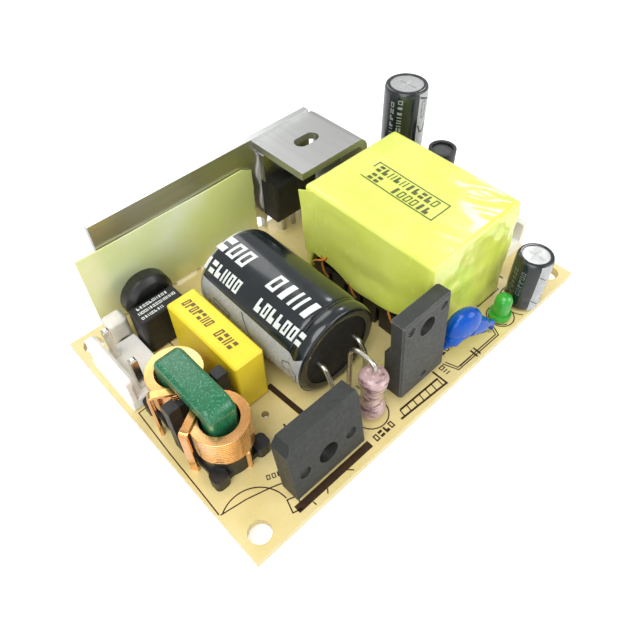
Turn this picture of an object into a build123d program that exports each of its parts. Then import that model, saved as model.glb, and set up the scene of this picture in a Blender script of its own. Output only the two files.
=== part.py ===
from build123d import *
import os

# Open frame power supply, in mm. Sizes are read from the photograph, against the three by two
# inch board. x runs from the board's left edge, y from its front edge, z up from its component
# side. At export all pieces move so that the origin is the centre of the four mounting holes,
# on the board's underside.

# shared sizes
overrun = 1.0
lead_end = 2.0
wire_radius = 0.4
wire_bend = 0.9
wire_sides = 8
fine_wire_radius = 0.3
fit = 0.1

# board
board_length = 76.2
board_width = 50.8
board_thickness = 1.6
mount_inset = 3.0
mount_hole_radius = 1.75
spare_hole = (15.5, 16.6)
spare_hole_radius = 0.6

# mains header and output header
header_width = 8.0
header_length = 11.8
header_base = 2.4
header_wall = 1.3
header_wall_height = 7.4
header_wall_inset = 0.2
header_latch = 0.6
header_latch_height = 1.6
header_pin_pitch = 3.96
header_edge = 0.3
header_pin = 1.14
header_pin_top = 9.2
header_pin_inset = 3.35
header_pin_point = 0.3
inlet_corner = (0.8, 31.2)
outlet_corner = (67.4, 10.6)

# fuse
fuse_length = 8.5
fuse_depth = 4.0
fuse_top = 8.2
fuse_foot = 0.4
fuse_rounding = 0.9
fuse_edge = 0.2
fuse_lead_pitch = 5.08
fuse_corner = (9.2, 38.75)

# thermistor
thermistor_radius = 4.5
thermistor_thickness = 4.0
thermistor_rounding = 1.0
thermistor_lead_pitch = 5.0
thermistor_centre = (14.1, 45.2, 6.6)
thermistor_lead_offset = 0.6

# film capacitor
film_width = 5.4
film_length = 17.5
film_top = 11.3
film_foot = 0.4
film_foot_size = 1.4
film_rounding = 0.45
film_edge_share = 0.6
film_lead_pitch = 15.0
film_corner = (13.35, 19.35)

# common mode choke
choke_place = (7.4, 21.0)
choke_spacing = 10.9
choke_core_width = 4.7
choke_core_bar = 3.1
choke_core_top = 13.7
choke_core_rounding = 0.4
choke_core_end = 1.3
choke_coil_bore = 2.95
choke_wire_width = 1.45
choke_wire_thickness = 0.4
choke_turn_pitch = 0.5
choke_turns = 11.5
choke_turn_sides = 20
choke_coil_foot = 4.4
choke_tail_long = 4.0
choke_tail_short = 1.2
choke_tail_bend = 0.6
choke_tail_trim = 0.05
choke_tail_angle = 120
choke_base_plate = 1.2
choke_base_width = 10.2
choke_base_length = 19.6
choke_base_rounding = 0.8
choke_base_inset = 0.7
choke_lug = 2.5
choke_lug_top = 2.4
choke_seat_step = 0.4
choke_cradle_wall = 1.0
choke_divider = 1.1
choke_post = 1.9
choke_post_top = 11.2

# bulk capacitor, lying
bulk_radius = 8.0
bulk_length = 25.0
bulk_place = (28.2, 13.3)
bulk_lead_pitch = 7.5
bulk_lead_reach = 2.4
bulk_lead_slope = 1.0
bulk_lead_drop = 2.2

# electrolytic capacitors in general
can_sleeve = 0.15
can_edge = 0.8
can_groove_depth = 0.7
can_groove_height = 1.3
can_groove_place = 2.6
can_lip = 0.8
can_bung_depth = 1.5
can_bung_inset = 0.4
can_rim = 1.0
can_vent_width = 0.35
can_vent_depth = 0.15

# tall and small output capacitors
tall_radius = 4.0
tall_length = 25.0
tall_place = (70.0, 38.1)
tall_lead_pitch = 3.5
small_radius = 3.15
small_length = 11.0
small_place = (63.9, 2.8)
small_lead_pitch = 2.5
standing_gap = 0.3

# bridge rectifier
bridge_width = 13.4
bridge_height = 11.4
bridge_thickness = 3.3
bridge_front = (9.45, 2.2, 1.5)
bridge_lean = 9.0
bridge_hole_radius = 1.75
bridge_hole_height = 4.4
bridge_dent_radius = 1.0
bridge_dent_depth = 0.35
bridge_dent_spacing = 8.8
bridge_bevel = 0.6
bridge_corner = 1.2
bridge_lead_pitch = 3.6
bridge_lead_width = 0.8
bridge_lead_depth = 0.5

# full pack diode
diode_width = 10.2
diode_height = 15.9
diode_top_thickness = 2.7
diode_thickness = 3.8
diode_top_height = 6.7
diode_front = (31.5, 2.9, 2.55)
diode_lean = 4.0
diode_hole_radius = 1.65
diode_hole_drop = 3.2
diode_dent_radius = 0.8
diode_dent_depth = 0.3
diode_dent_inset = 1.6
diode_bevel = 0.35
diode_lead_pitch = 2.54
diode_lead_width = 0.9
diode_lead_depth = 0.5

# standing resistor
resistor_place = (27.6, 5.4)
resistor_radius = 1.75
resistor_bulb = 2.2
resistor_length = 10.2
resistor_foot = 0.7
resistor_return = 4.8
resistor_neck_share = 0.55
resistor_shape_shares = ((0.75, 0.04), (1, 0.16), (0.1, 0.36), (0.1, 0.64), (1, 0.84), (0.75, 0.96))
resistor_loop = 2.1
resistor_loop_bend = 1.6

# indicator lamp
lamp_place = (57.9, 3.1)
lamp_radius = 1.5
lamp_flange_radius = 1.9
lamp_flange = 1.0
lamp_height = 5.3
lamp_foot = 0.4
lamp_lead = 0.45
lamp_lead_pitch = 2.54

# suppression capacitor, a dipped disc
dipped_radius = 3.3
dipped_thickness = 2.9
dipped_centre = (47.0, 3.8, 6.7)
dipped_turn = -13
dipped_leg_radius = 0.6
dipped_leg_foot = 1.0
dipped_leg_knee = 2.3
dipped_reaches = (-3.9, 7.2)
dipped_edge_shares = ((0.45, 0.93), (0.75, 0.72), (0.93, 0.38), (1, 0))
dipped_root_share = 0.35

# heatsink plate, its insulating sheet and the paste behind the switch
plate_left = 10.1
plate_right = 56.2
plate_top = 21.2
plate_thickness = 1.2
arch_width = 5.1
arch_height = 4.0
arch_pitch = 5.6
arch_first = 18.7
arch_count = 7
peg_width = 1.2
sheet_left = 6.2
sheet_right = 41.5
sheet_bottom = 0.7
sheet_top = 16.7
sheet_thickness = 0.3
sheet_tear = 0.5
sheet_tear_shares = ((0, 0), (0.3, 0.55), (0, 0.7), (0.9, 0.8), (0.2, 0.88), (-1, 1))
paste_margin = 0.8
paste_wave_shares = ((0, 0), (0.6, 0.2), (0.1, 0.42), (1, 0.66), (0.3, 0.85), (0.5, 1))

# slotted bracket
bracket_left = 42.9
bracket_right = 58.6
bracket_clearance = 0.2
bracket_depth = 12.9
bracket_sheet = 1.4
bracket_bend = 1.0
bracket_corner = 1.5
bracket_peg = 2.0
bracket_peg_shares = (0.18, 0.8)
slot_inset = (7.2, 6.8)
slot_length = 5.0
slot_width = 2.75

# switch and output rectifier, two alike packages
pack_width = 10.2
pack_body_drop = 6.3
pack_body_thickness = 3.1
pack_tab_height = 14.9
pack_tab_thickness = 1.3
pack_tab_corner = 1.0
pack_hole_radius = 1.85
pack_hole_drop = 2.9
pack_bevel = 0.4
pack_lead_width = 0.8
pack_lead_depth = 0.5
pack_lead_pitch = 2.54
pack_lead_back = 2.6
switch_foot = 4.1
switch_x = 48.7
rectifier_foot = 2.2
rectifier_inset = 6.3
screw_radius = 1.5
screw_head_radius = 2.8
screw_head_height = 2.0
screw_cross_width = 0.7
screw_cross_length = 3.2
screw_cross_depth = 1.1
screw_end = 0.4
screw_dome_share = 0.4

# transformer
wrap_thickness = 0.35
wrap_rounding = 1.1
wrap_edge = 0.7
wrap_skirt = 0.5
wrap_edge_shares = ((0.06, 0.9), (0.18, 0.4), (0.34, 0.05), (0.48, 0), (0.62, 0.3), (0.78, 0.45), (0.95, 1))
wrap_side_high = 8.0
wrap_side_low = 6.1
transformer_place = (51.8, 20.6)
core_length = 26.3
core_width = 12.4
core_top = 20.7
core_bottom = 0.6
core_plate = 3.4
core_outer_leg_share = 0.14
core_centre_leg_share = 0.28
bobbin_width = 21.1
bobbin_wall = 0.8
bobbin_flange = 0.9
bobbin_gap = 0.3
bobbin_rail = 3.6
bobbin_rail_overhang = 2.4
bobbin_notch = 0.9
winding_inset = 0.6
winding_rounding = 2.2
bobbin_pin_radius = 0.35
bobbin_pin_pitch = 3.8
bobbin_pin_count = 6
bobbin_pin_stub = 0.9

# output inductor
inductor_place = (71.4, 29.3)
inductor_radius = 2.3
inductor_flange = 1.1
inductor_top = 15.2
inductor_waist = 1.1
inductor_sleeve = 0.3
inductor_lip = 0.6
inductor_swell = 0.7
inductor_sleeve_shares = ((0.6, 0.05), (1, 0.15), (0.8, 0.3), (0.1, 0.45), (0, 0.6), (0, 0.8), (0, 1))
inductor_lead_pitch = 3.0

# optocoupler, on the secondary side
opto_place = (65.4, 27.4)
opto_width = 4.6
opto_length = 6.4
opto_height = 3.4
opto_foot = 0.5
opto_row = 7.62
opto_pitch = 2.54
opto_lead_width = 0.6
opto_lead_thickness = 0.25
opto_bevel = 0.35

# control chip under the board
chip_place = (50.0, 37.5)
chip_length = 4.9
chip_width = 3.9
chip_thickness = 1.4
chip_stand = 0.1
chip_lead_pitch = 1.27
chip_lead_count = 4
chip_lead_reach = 1.0
chip_lead_width = 0.42
chip_lead_thickness = 0.22
chip_bevel = 0.2

# adhesive
adhesive_corner = (5.4, 43.3)
adhesive_size = (3.6, 3.2, 6.6)
adhesive_rounding = 0.9
adhesive_edge_share = 0.7
adhesive_arch_radius = 1.25
adhesive_arch_depth = 1.6

underside = -board_thickness
plate_front = board_width - plate_thickness
pack_body_height = pack_tab_height - pack_body_drop
pack_hole_height = pack_tab_height - pack_hole_drop
bracket_top = switch_foot + pack_tab_height + bracket_clearance + bracket_sheet
bracket_front = plate_front - bracket_depth
lead_tip = underside - lead_end
drills = []


def save(name, shapes):
    shapes = [s for shape in shapes for s in shape.solids()]
    to_frame = Pos(-board_length / 2, -board_width / 2, board_thickness)
    placed = [to_frame * s for s in shapes]
    export_step(placed[0] if len(placed) == 1 else Compound(children=placed), f"parts/{name}.step")


def block(low, high):
    size = [b - a for a, b in zip(low, high)]
    centre = [(a + b) / 2 for a, b in zip(low, high)]
    return Pos(*centre) * Box(*size)


def rod(x, y, bottom, top, radius):
    return Pos(x, y, (bottom + top) / 2) * Cylinder(radius, top - bottom)


def joint(lead):
    """Notes that the board is bored where this lead passes."""
    drills.append(lead)
    return lead


def pin(x, y, top, radius):
    return joint(Pos(x, y, lead_tip) * extrude(RegularPolygon(radius, wire_sides), top - lead_tip))


def blade(x, y, top, width, depth):
    return joint(block((x - width / 2, y - depth / 2, lead_tip), (x + width / 2, y + depth / 2, top)))


def wire(points, radius, bend):
    path = FilletPolyline(*points, radius=bend)
    return sweep(Plane(origin=path @ 0, z_dir=path % 0) * RegularPolygon(radius, wire_sides), path=path)


def extruded_face(face, depth):
    """Extrudes a face of the x-z plane along y."""
    return extrude(Plane.XZ * face, -depth)


def extruded(points, depth):
    return extruded_face(make_face(Polyline(*points, close=True)), depth)


def trimmed(lead, body):
    """Cuts a lead where it enters its body, so that they meet face to face."""
    return max((lead - body).solids(), key=lambda s: -s.bounding_box().min.Z)


# board
def circuit_board():
    board = block((0, 0, underside), (board_length, board_width, 0))
    for x in (mount_inset, board_length - mount_inset):
        for y in (mount_inset, board_width - mount_inset):
            board -= rod(x, y, underside - overrun, overrun, mount_hole_radius)
    board -= rod(*spare_hole, underside - overrun, overrun, spare_hole_radius)
    return board - drills


# mains and output headers
def header(corner, turn, steps):
    latch = header_wall_inset + header_wall
    outline = [(0, 0), (header_width, 0), (header_width, header_base), (latch, header_base),
               (latch, header_wall_height - header_latch_height),
               (latch + header_latch, header_wall_height - header_latch),
               (latch, header_wall_height), (header_wall_inset, header_wall_height),
               (header_wall_inset, header_base), (0, header_base)]
    housing = extruded(outline, header_length)
    housing = chamfer(housing.faces().sort_by(Axis.Y)[0].edges(), header_edge)
    centre = Pos(header_width / 2, header_length / 2)
    place = Pos(*corner) * centre * Rot(0, 0, turn) * centre.inverse()
    pins = []
    for step in steps:
        y = header_length / 2 + step * header_pin_pitch
        low = (header_pin_inset - header_pin / 2, y - header_pin / 2, lead_tip)
        one = block(low, (low[0] + header_pin, low[1] + header_pin, header_pin_top))
        one = chamfer(one.faces().sort_by(Axis.Z)[-1].edges(), header_pin_point)
        pins.append(joint(place * one))
    return place * housing - pins, pins


# fuse, thermistor and film capacitor
def fuse():
    x, y = fuse_corner
    case = block((x, y, fuse_foot), (x + fuse_length, y + fuse_depth, fuse_top))
    front = case.edges().filter_by(Axis.Z).sort_by(Axis.Y)[:2].sort_by(Axis.X)[0]
    case = fillet(front, fuse_rounding)
    case = chamfer(case.faces().sort_by(Axis.Z)[-1].edges(), fuse_edge)
    middle = x + fuse_length / 2
    ends = (middle - fuse_lead_pitch / 2, middle + fuse_lead_pitch / 2)
    return case, [pin(end, y + fuse_depth / 2, fuse_foot, fine_wire_radius) for end in ends]


def thermistor():
    x, y, z = thermistor_centre
    disc = Rot(90, 0, 0) * Cylinder(thermistor_radius, thermistor_thickness)
    disc = Pos(x, y, z) * chamfer(disc.edges().filter_by(GeomType.CIRCLE), thermistor_rounding)
    leads = []
    for side in (-1, 1):
        place = (x + side * thermistor_lead_pitch / 2, y + side * thermistor_lead_offset)
        leads.append(trimmed(pin(*place, z, wire_radius), disc))
    return disc, leads


def film_capacitor():
    x, y = film_corner
    far = (x + film_width, y + film_length)
    case = block((x, y, film_foot), (*far, film_top))
    case = fillet(case.edges().filter_by(Axis.Z), film_rounding)
    case = chamfer(case.faces().sort_by(Axis.Z)[-1].edges(), film_rounding * film_edge_share)
    for left in (x + film_rounding, far[0] - film_rounding - film_foot_size):
        for front in (y + film_rounding, far[1] - film_rounding - film_foot_size):
            case += block((left, front, 0), (left + film_foot_size, front + film_foot_size, film_foot))
    middle = (x + film_width / 2, y + film_length / 2)
    rows = (middle[1] - film_lead_pitch / 2, middle[1] + film_lead_pitch / 2)
    return case, [pin(middle[0], row, film_foot, wire_radius) for row in rows]


# adhesive lump, hollow where it bridged a neighbour's lead
def adhesive():
    x, y = adhesive_corner
    width, depth, height = adhesive_size
    lump = block((x, y, 0), (x + width, y + depth, height))
    lump = fillet(lump.edges().filter_by(Axis.Z), adhesive_rounding)
    lump = chamfer(lump.faces().sort_by(Axis.Z)[-1].edges(), adhesive_rounding * adhesive_edge_share)
    arch = Plane.XZ * (Circle(adhesive_arch_radius) + Pos(0, -adhesive_arch_radius)
                       * Rectangle(2 * adhesive_arch_radius, 2 * adhesive_arch_radius))
    arch = extrude(arch, adhesive_arch_depth, both=True)
    return lump - Pos(x + width / 2, y, adhesive_arch_radius) * arch


# common mode choke: two edge wound coils of flat wire on a closed core
def patch(*points):
    return Face(Wire.make_polygon(points))


def flat_wire_coil():
    """Faces between one station of the wire and the next, its flat sides in two triangles each."""
    radius = choke_coil_bore + choke_wire_width / 2
    steps = round(choke_turns * choke_turn_sides)
    section = [(radius + choke_wire_width * across, choke_wire_thickness * up)
               for across, up in ((-0.5, -0.5), (0.5, -0.5), (0.5, 0.5), (-0.5, 0.5))]
    stations = []
    for k in range(steps + 1):
        turn = Rot(0, 0, choke_tail_angle - (steps - k) * 360 / choke_turn_sides)
        lift = turn * Pos(0, 0, choke_turn_pitch * k / choke_turn_sides)
        stations.append([(lift * Pos(out, 0, up)).position for out, up in section])
    faces = [patch(*stations[0]), patch(*stations[-1])]
    for here, there in zip(stations, stations[1:]):
        for near, far in ((1, 2), (3, 0)):
            faces.append(patch(here[near], there[near], there[far], here[far]))
        for near, far in ((0, 1), (2, 3)):
            faces.append(patch(here[near], there[near], there[far]))
            faces.append(patch(here[near], there[far], here[far]))
    return Solid(Shell(faces))


def choke_coil():
    """One coil at the origin, and its tails alone for the bores that they need."""
    radius = choke_coil_bore + choke_wire_width / 2
    half = choke_wire_width / 2 - choke_tail_trim
    low_end = (choke_tail_angle - choke_turns * 360, 0, -1, choke_tail_short)
    high_end = (choke_tail_angle, choke_turns * choke_turn_pitch, 1, choke_tail_long)
    tails = []
    for angle, height, side, reach in (low_end, high_end):
        start = Plane(origin=(radius, 0, height), x_dir=(0, side, 0), z_dir=(side, 0, 0))
        drop = lead_tip - choke_coil_foot - height
        route = FilletPolyline((-choke_wire_thickness, 0), (reach, 0), (reach, drop), radius=choke_tail_bend)
        strip = extrude(start * trace(route, choke_wire_thickness), half, both=True)
        tails.append(Rot(0, 0, angle) * strip)
    return flat_wire_coil() + tails, tails


def choke_base(tails):
    x, y = choke_place
    half_width = choke_base_width / 2
    half_core = (choke_spacing + choke_core_bar) / 2
    rest = choke_coil_foot - choke_wire_thickness / 2
    cheek = choke_core_width / 2 + fit
    window = choke_core_top - choke_core_bar - fit
    bar = choke_base_plate + choke_core_bar + fit
    plate = Rectangle(choke_base_width - 2 * choke_base_inset, choke_base_length - 2 * choke_base_inset)
    base = Pos(x, y) * extrude(plate, choke_base_plate)
    base += block((x - half_width, y - choke_divider / 2, 0), (x + half_width, y + choke_divider / 2, window))
    for end in (-1, 1):
        centre = y + end * choke_spacing / 2
        seat = rod(x, centre, 0, rest, choke_coil_bore + choke_wire_width - choke_seat_step)
        base += seat - rod(x, centre, choke_base_plate, window, choke_coil_bore)
        for side in (-1, 1):
            lug = Pos(x + side * (half_width - choke_lug / 2), y + end * (choke_base_length - choke_lug) / 2)
            base += lug * extrude(RectangleRounded(choke_lug, choke_lug, choke_base_rounding), choke_lug_top)
    for side in (-1, 1):
        inner, outer = sorted((x + side * cheek, x + side * (cheek + choke_cradle_wall)))
        base += block((inner, y - half_core, 0), (outer, y + half_core, rest))
        inner, outer = sorted((x + side * (half_width - choke_post), x + side * half_width))
        base += block((inner, y - choke_post / 2, 0), (outer, y + choke_post / 2, choke_post_top))
    base -= block((x - cheek, y - half_core - fit, choke_base_plate), (x + cheek, y + half_core + fit, bar))
    return base - tails


def choke():
    x, y = choke_place
    outer = (choke_spacing + choke_core_bar, choke_core_top - choke_base_plate)
    inner = (choke_spacing - choke_core_bar, outer[1] - 2 * choke_core_bar)
    ring = RectangleRounded(*outer, choke_core_end) - Rectangle(*inner)
    core = extrude(ring, choke_core_width / 2, both=True)
    sides = core.faces().sort_by(Axis.Z)
    core = chamfer(sides[0].outer_wire().edges() + sides[-1].outer_wire().edges(), choke_core_rounding)
    core = Pos(x, y, choke_base_plate + outer[1] / 2) * Plane.YZ.location * core
    coil, tails = choke_coil()
    front = Pos(x, y - choke_spacing / 2, choke_coil_foot)
    back = Pos(x, y + choke_spacing / 2, choke_coil_foot)
    coils = [front * coil, back * mirror(coil, Plane.XZ)]
    tails = [front * tail for tail in tails] + [back * mirror(tail, Plane.XZ) for tail in tails]
    drills.extend(tails)
    return core, coils, choke_base(tails)


# electrolytic capacitors, upright with the lead end at zero
def can_outline(radius, low, high, edge):
    """Half the section of a can, with the groove that its seal is rolled into."""
    half_groove = can_groove_height / 2
    outline = [(0, low), (radius - edge, low), (radius, low + edge),
               (radius, can_groove_place - half_groove), (radius - can_groove_depth, can_groove_place),
               (radius, can_groove_place + half_groove),
               (radius, high - edge), (radius - edge, high), (0, high)]
    return make_face(Polyline(*outline, close=True))


def capacitor(radius, length):
    metal = radius - can_sleeve
    bung_radius = metal - can_rim
    can_face = can_outline(metal, can_sleeve, length - can_sleeve, can_edge - can_sleeve / 2)
    sleeve_face = can_outline(radius, 0, length, can_edge) - can_face
    sleeve_face -= Pos(0, length / 2) * Rectangle(2 * (metal - can_lip), 2 * length)
    can = revolve(Plane.XZ * can_face) - rod(0, 0, 0, can_bung_depth, bung_radius)
    for turn in (0, 90):
        score = Box(metal, can_vent_width, 2 * can_vent_depth)
        can -= Pos(0, 0, length - can_sleeve) * Rot(0, 0, turn) * score
    return [can, revolve(Plane.XZ * sleeve_face), rod(0, 0, can_bung_inset, can_bung_depth, bung_radius)]


def standing_capacitor(place, radius, length, pitch):
    stand = Pos(*place, standing_gap)
    can, sleeve, bung = [stand * piece for piece in capacitor(radius, length)]
    sides = (place[0] - pitch / 2, place[0] + pitch / 2)
    top = standing_gap + can_bung_inset
    return can, sleeve, bung, [pin(side, place[1], top, fine_wire_radius) for side in sides]


def lying_capacitor():
    x, y = bulk_place
    lay = Pos(x, y, bulk_radius) * Rot(-90, 0, 0)
    can, sleeve, bung = [lay * piece for piece in capacitor(bulk_radius, bulk_length)]
    leads = []
    for side in (-1, 1):
        column = x + side * bulk_lead_pitch / 2
        route = [(column, y + can_bung_inset, bulk_radius), (column, y - bulk_lead_slope, bulk_radius),
                 (column, y - bulk_lead_reach, bulk_radius - bulk_lead_drop),
                 (column, y - bulk_lead_reach, lead_tip)]
        leads.append(joint(wire(route, wire_radius, wire_bend)))
    return can, sleeve, bung, leads


# bridge rectifier and the diode in a full pack
def dent(x, z, radius, depth):
    return Pos(x, 0, z) * Rot(90, 0, 0) * Cylinder(radius, 2 * depth)


def bridge_rectifier():
    body = block((0, 0, 0), (bridge_width, bridge_thickness, bridge_height))
    corner = body.edges().filter_by(Axis.Y).sort_by(Axis.Z)[-2:].sort_by(Axis.X)[0]
    body = chamfer(corner, bridge_corner)
    top_front = body.edges().filter_by(Axis.X).sort_by(Axis.Z)[-2:].sort_by(Axis.Y)[0]
    body = chamfer(top_front, bridge_bevel)
    middle = bridge_width / 2
    body -= dent(middle, bridge_hole_height, bridge_hole_radius, bridge_thickness + overrun)
    for side in (-1, 1):
        place = middle + side * bridge_dent_spacing / 2
        body -= dent(place, bridge_hole_height, bridge_dent_radius, bridge_dent_depth)
    body = Pos(*bridge_front) * Rot(-bridge_lean, 0, 0) * body
    row = bridge_front[1] + bridge_thickness / 2
    leads = []
    for step in (-1.5, -0.5, 0.5, 1.5):
        column = bridge_front[0] + middle + step * bridge_lead_pitch
        top = bridge_front[2] + bridge_thickness / 2
        lead = blade(column, row, top, bridge_lead_width, bridge_lead_depth)
        leads.append(trimmed(lead, body))
    return body, leads


def full_pack_diode():
    step = diode_height - diode_top_height
    slope = diode_thickness - diode_top_thickness
    side = [(0, 0), (diode_thickness, 0), (diode_thickness, step - slope),
            (diode_top_thickness, step), (diode_top_thickness, diode_height), (0, diode_height)]
    body = extrude(Plane.YZ * make_face(Polyline(*side, close=True)), diode_width)
    uprights = body.edges().filter_by(Axis.Z)
    top_front = body.edges().filter_by(Axis.X).group_by(Axis.Z)[-1].sort_by(Axis.Y)[0]
    body = chamfer([top_front] + list(uprights), diode_bevel)
    body -= dent(diode_width / 2, diode_height - diode_hole_drop, diode_hole_radius, diode_thickness)
    for place, height in ((diode_dent_inset, diode_height - diode_dent_inset),
                          (diode_width - diode_dent_inset, diode_height - diode_dent_inset),
                          (diode_width / 2, diode_dent_inset)):
        body -= dent(place, height, diode_dent_radius, diode_dent_depth)
    x, y, z = diode_front
    body = Pos(x, y, z) * Rot(-diode_lean, 0, 0) * body
    leads = []
    for step in (-1, 0, 1):
        column = x + diode_width / 2 + step * diode_lead_pitch
        row = y + diode_top_thickness
        lead = blade(column, row, z + diode_bevel, diode_lead_width, diode_lead_depth)
        leads.append(trimmed(lead, body))
    return body, leads


# standing resistor with its hairpin lead
def resistor():
    x, y = resistor_place
    neck = resistor_bulb * resistor_neck_share
    swell = resistor_bulb - resistor_radius
    curve = [(resistor_radius + swell * out, resistor_length * up)
             for out, up in resistor_shape_shares]
    outline = [(0, 0), (neck, 0), *curve, (neck, resistor_length), (0, resistor_length)]
    body = Pos(x, y, resistor_foot) * revolve(Plane.XZ * make_face(Polyline(*outline, close=True)))
    top = resistor_foot + resistor_length
    back = y + resistor_return
    route = [(x, y, top), (x, y, top + resistor_loop), (x, back, top + resistor_loop), (x, back, lead_tip)]
    hairpin = joint(wire(route, wire_radius, resistor_loop_bend))
    return body, [pin(x, y, resistor_foot, wire_radius), hairpin]


# indicator lamp
def lamp():
    x, y = lamp_place
    shoulder = lamp_foot + lamp_height - lamp_radius
    lens = rod(x, y, lamp_foot, shoulder, lamp_radius) + Pos(x, y, shoulder) * Sphere(lamp_radius)
    lens += rod(x, y, lamp_foot, lamp_foot + lamp_flange, lamp_flange_radius)
    far = (x + 2 * lamp_radius, y + lamp_flange_radius, lamp_height)
    lens -= block((x + lamp_radius, y - lamp_flange_radius, 0), far)
    sides = (x - lamp_lead_pitch / 2, x + lamp_lead_pitch / 2)
    return lens, [blade(side, y, lamp_foot, lamp_lead, lamp_lead) for side in sides]


# dipped disc capacitor, its legs coated almost to the board
def dipped_capacitor():
    x, y, z = dipped_centre
    half = dipped_thickness / 2
    edge = [(dipped_radius * out, half * up) for out, up in dipped_edge_shares]
    edge += [(out, -up) for out, up in edge[-2::-1]]
    outline = make_face(Polyline((0, half), *edge, (0, -half), close=True))
    body = Rot(90, 0, 0) * revolve(Plane.XZ * outline)
    place = Pos(x, y, 0) * Rot(0, 0, dipped_turn)
    body = place * Pos(0, 0, z) * body
    leads = []
    for reach in dipped_reaches:
        spots = [(reach * dipped_root_share, z), (reach, dipped_leg_knee), (reach, dipped_leg_foot)]
        route = [(place * Pos(out, 0, up)).position for out, up in spots]
        body += wire(route, dipped_leg_radius, dipped_leg_radius)
        leads.append(pin(route[-1].X, route[-1].Y, dipped_leg_foot, fine_wire_radius))
    return body, leads


# heatsink plate with its arches and pegs, and the sheet on its inner face
def heatsink_plate():
    plate = block((plate_left, plate_front, 0), (plate_right, board_width, plate_top))
    straight = arch_height - arch_width / 2
    arch = Rectangle(arch_width, 2 * straight) + Pos(0, straight) * Circle(arch_width / 2)
    for k in range(arch_count):
        place = Pos(arch_first + k * arch_pitch, board_width, 0)
        plate -= place * extrude(Plane.XZ * arch, plate_thickness + overrun, both=True)
    last = arch_first + (arch_count - 1) * arch_pitch
    for x in ((plate_left + arch_first - arch_width / 2) / 2, (last + arch_width / 2 + plate_right) / 2):
        plate += block((x - peg_width / 2, plate_front, lead_tip), (x + peg_width / 2, board_width, 0))
    return joint(plate) - switch_place() * bore(switch_foot, screw_radius)


def insulation_sheet():
    height = sheet_top - sheet_bottom
    tear = [(sheet_right + sheet_tear * across, sheet_bottom + height * along)
            for across, along in sheet_tear_shares]
    outline = [(sheet_left, sheet_bottom), *tear, (sheet_left, sheet_top)]
    return Pos(0, plate_front - sheet_thickness, 0) * extruded(outline, sheet_thickness)


# slotted bracket, folded from one sheet
def bracket():
    inner = bracket_right - bracket_sheet
    under = bracket_top - bracket_sheet
    side = [(bracket_left, bracket_top), (bracket_right, bracket_top), (bracket_right, 0),
            (inner, 0), (inner, under), (bracket_left, under)]
    fold = Pos(0, bracket_front, 0) * extruded(side, bracket_depth)
    for radius, corner in ((bracket_bend, (inner, bracket_front, under)),
                           (bracket_bend + bracket_sheet, (bracket_right, bracket_front, bracket_top))):
        bend = fold.edges().filter_by(Axis.Y).sort_by_distance(corner)[0]
        fold = fillet(bend, radius)
    notch = Rot(0, 0, 45) * Rectangle(bracket_corner * 2 ** 0.5, bracket_corner * 2 ** 0.5)
    fold -= Pos(bracket_right, plate_front) * extrude(notch, bracket_top)
    slot = extrude(SlotOverall(slot_length, slot_width), bracket_top)
    fold -= Pos(bracket_left + slot_inset[0], bracket_front + slot_inset[1]) * slot
    for share in bracket_peg_shares:
        y = bracket_front + bracket_depth * share
        fold += block((inner, y - bracket_peg / 2, lead_tip), (bracket_right, y + bracket_peg / 2, 0))
    return joint(fold) - rectifier_place() * bore(rectifier_foot, screw_radius)


# two alike packages with a metal tab, each made facing the front with its back at zero
def package():
    half = pack_width / 2
    body = block((-half, -pack_body_thickness - pack_tab_thickness, 0), (half, 0, pack_body_height))
    front = body.faces().sort_by(Axis.Y)[0]
    body = chamfer(front.edges(), pack_bevel)
    tab = block((-half, -pack_tab_thickness, pack_body_height - pack_bevel), (half, 0, pack_tab_height))
    tab = chamfer(tab.faces().sort_by(Axis.Z)[-1].edges().filter_by(Axis.Y), pack_tab_corner)
    tab -= bore(0, pack_hole_radius)
    return body - tab, tab


def screw(grip):
    """A pan head screw along y, its head's seat at zero and its point behind."""
    head = Rot(90, 0, 0) * Cylinder(screw_head_radius, screw_head_height)
    head = Pos(0, -screw_head_height / 2, 0) * head
    head = chamfer(head.edges().sort_by(Axis.Y)[0], screw_head_height * screw_dome_share)
    for turn in (0, 90):
        cross = Box(screw_cross_length, 2 * screw_cross_depth, screw_cross_width)
        head -= Pos(0, -screw_head_height, 0) * Rot(0, turn, 0) * cross
    length = grip + screw_end
    return head + Pos(0, length / 2, 0) * Rot(90, 0, 0) * Cylinder(screw_radius, length)


def bore(foot, radius):
    """The screw's way through a package whose lower end stands this far up."""
    reach = plate_thickness + overrun
    return Pos(0, 0, foot + pack_hole_height) * Rot(90, 0, 0) * Cylinder(radius, 2 * reach)


def switch_place():
    return Pos(switch_x, plate_front - sheet_thickness, 0)


def rectifier_place():
    return Pos(bracket_right, bracket_front + rectifier_inset, 0) * Rot(0, 0, 90)


def mounted_package(place, foot, grip):
    lift = place * Pos(0, 0, foot)
    body, tab = [lift * piece for piece in package()]
    metal = [tab]
    for step in (-1, 0, 1):
        x = step * pack_lead_pitch
        low = (x - pack_lead_width / 2, -pack_lead_back - pack_lead_depth / 2, lead_tip)
        high = (x + pack_lead_width / 2, -pack_lead_back + pack_lead_depth / 2, foot)
        metal.append(joint(place * block(low, high)))
    seat = Pos(0, -pack_tab_thickness, pack_hole_height)
    return body, metal, lift * seat * screw(grip + pack_tab_thickness)


def paste():
    half = pack_width / 2
    low = switch_foot + paste_margin
    high = switch_foot + pack_tab_height - paste_margin
    wave = [(-half - paste_margin * across, low + (high - low) * along)
            for across, along in paste_wave_shares]
    rest = Polyline(wave[-1], (half, high), (half, low), wave[0])
    sheet = extruded_face(make_face([Spline(*wave), rest]), sheet_thickness)
    return switch_place() * (sheet - bore(switch_foot, pack_hole_radius))


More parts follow.
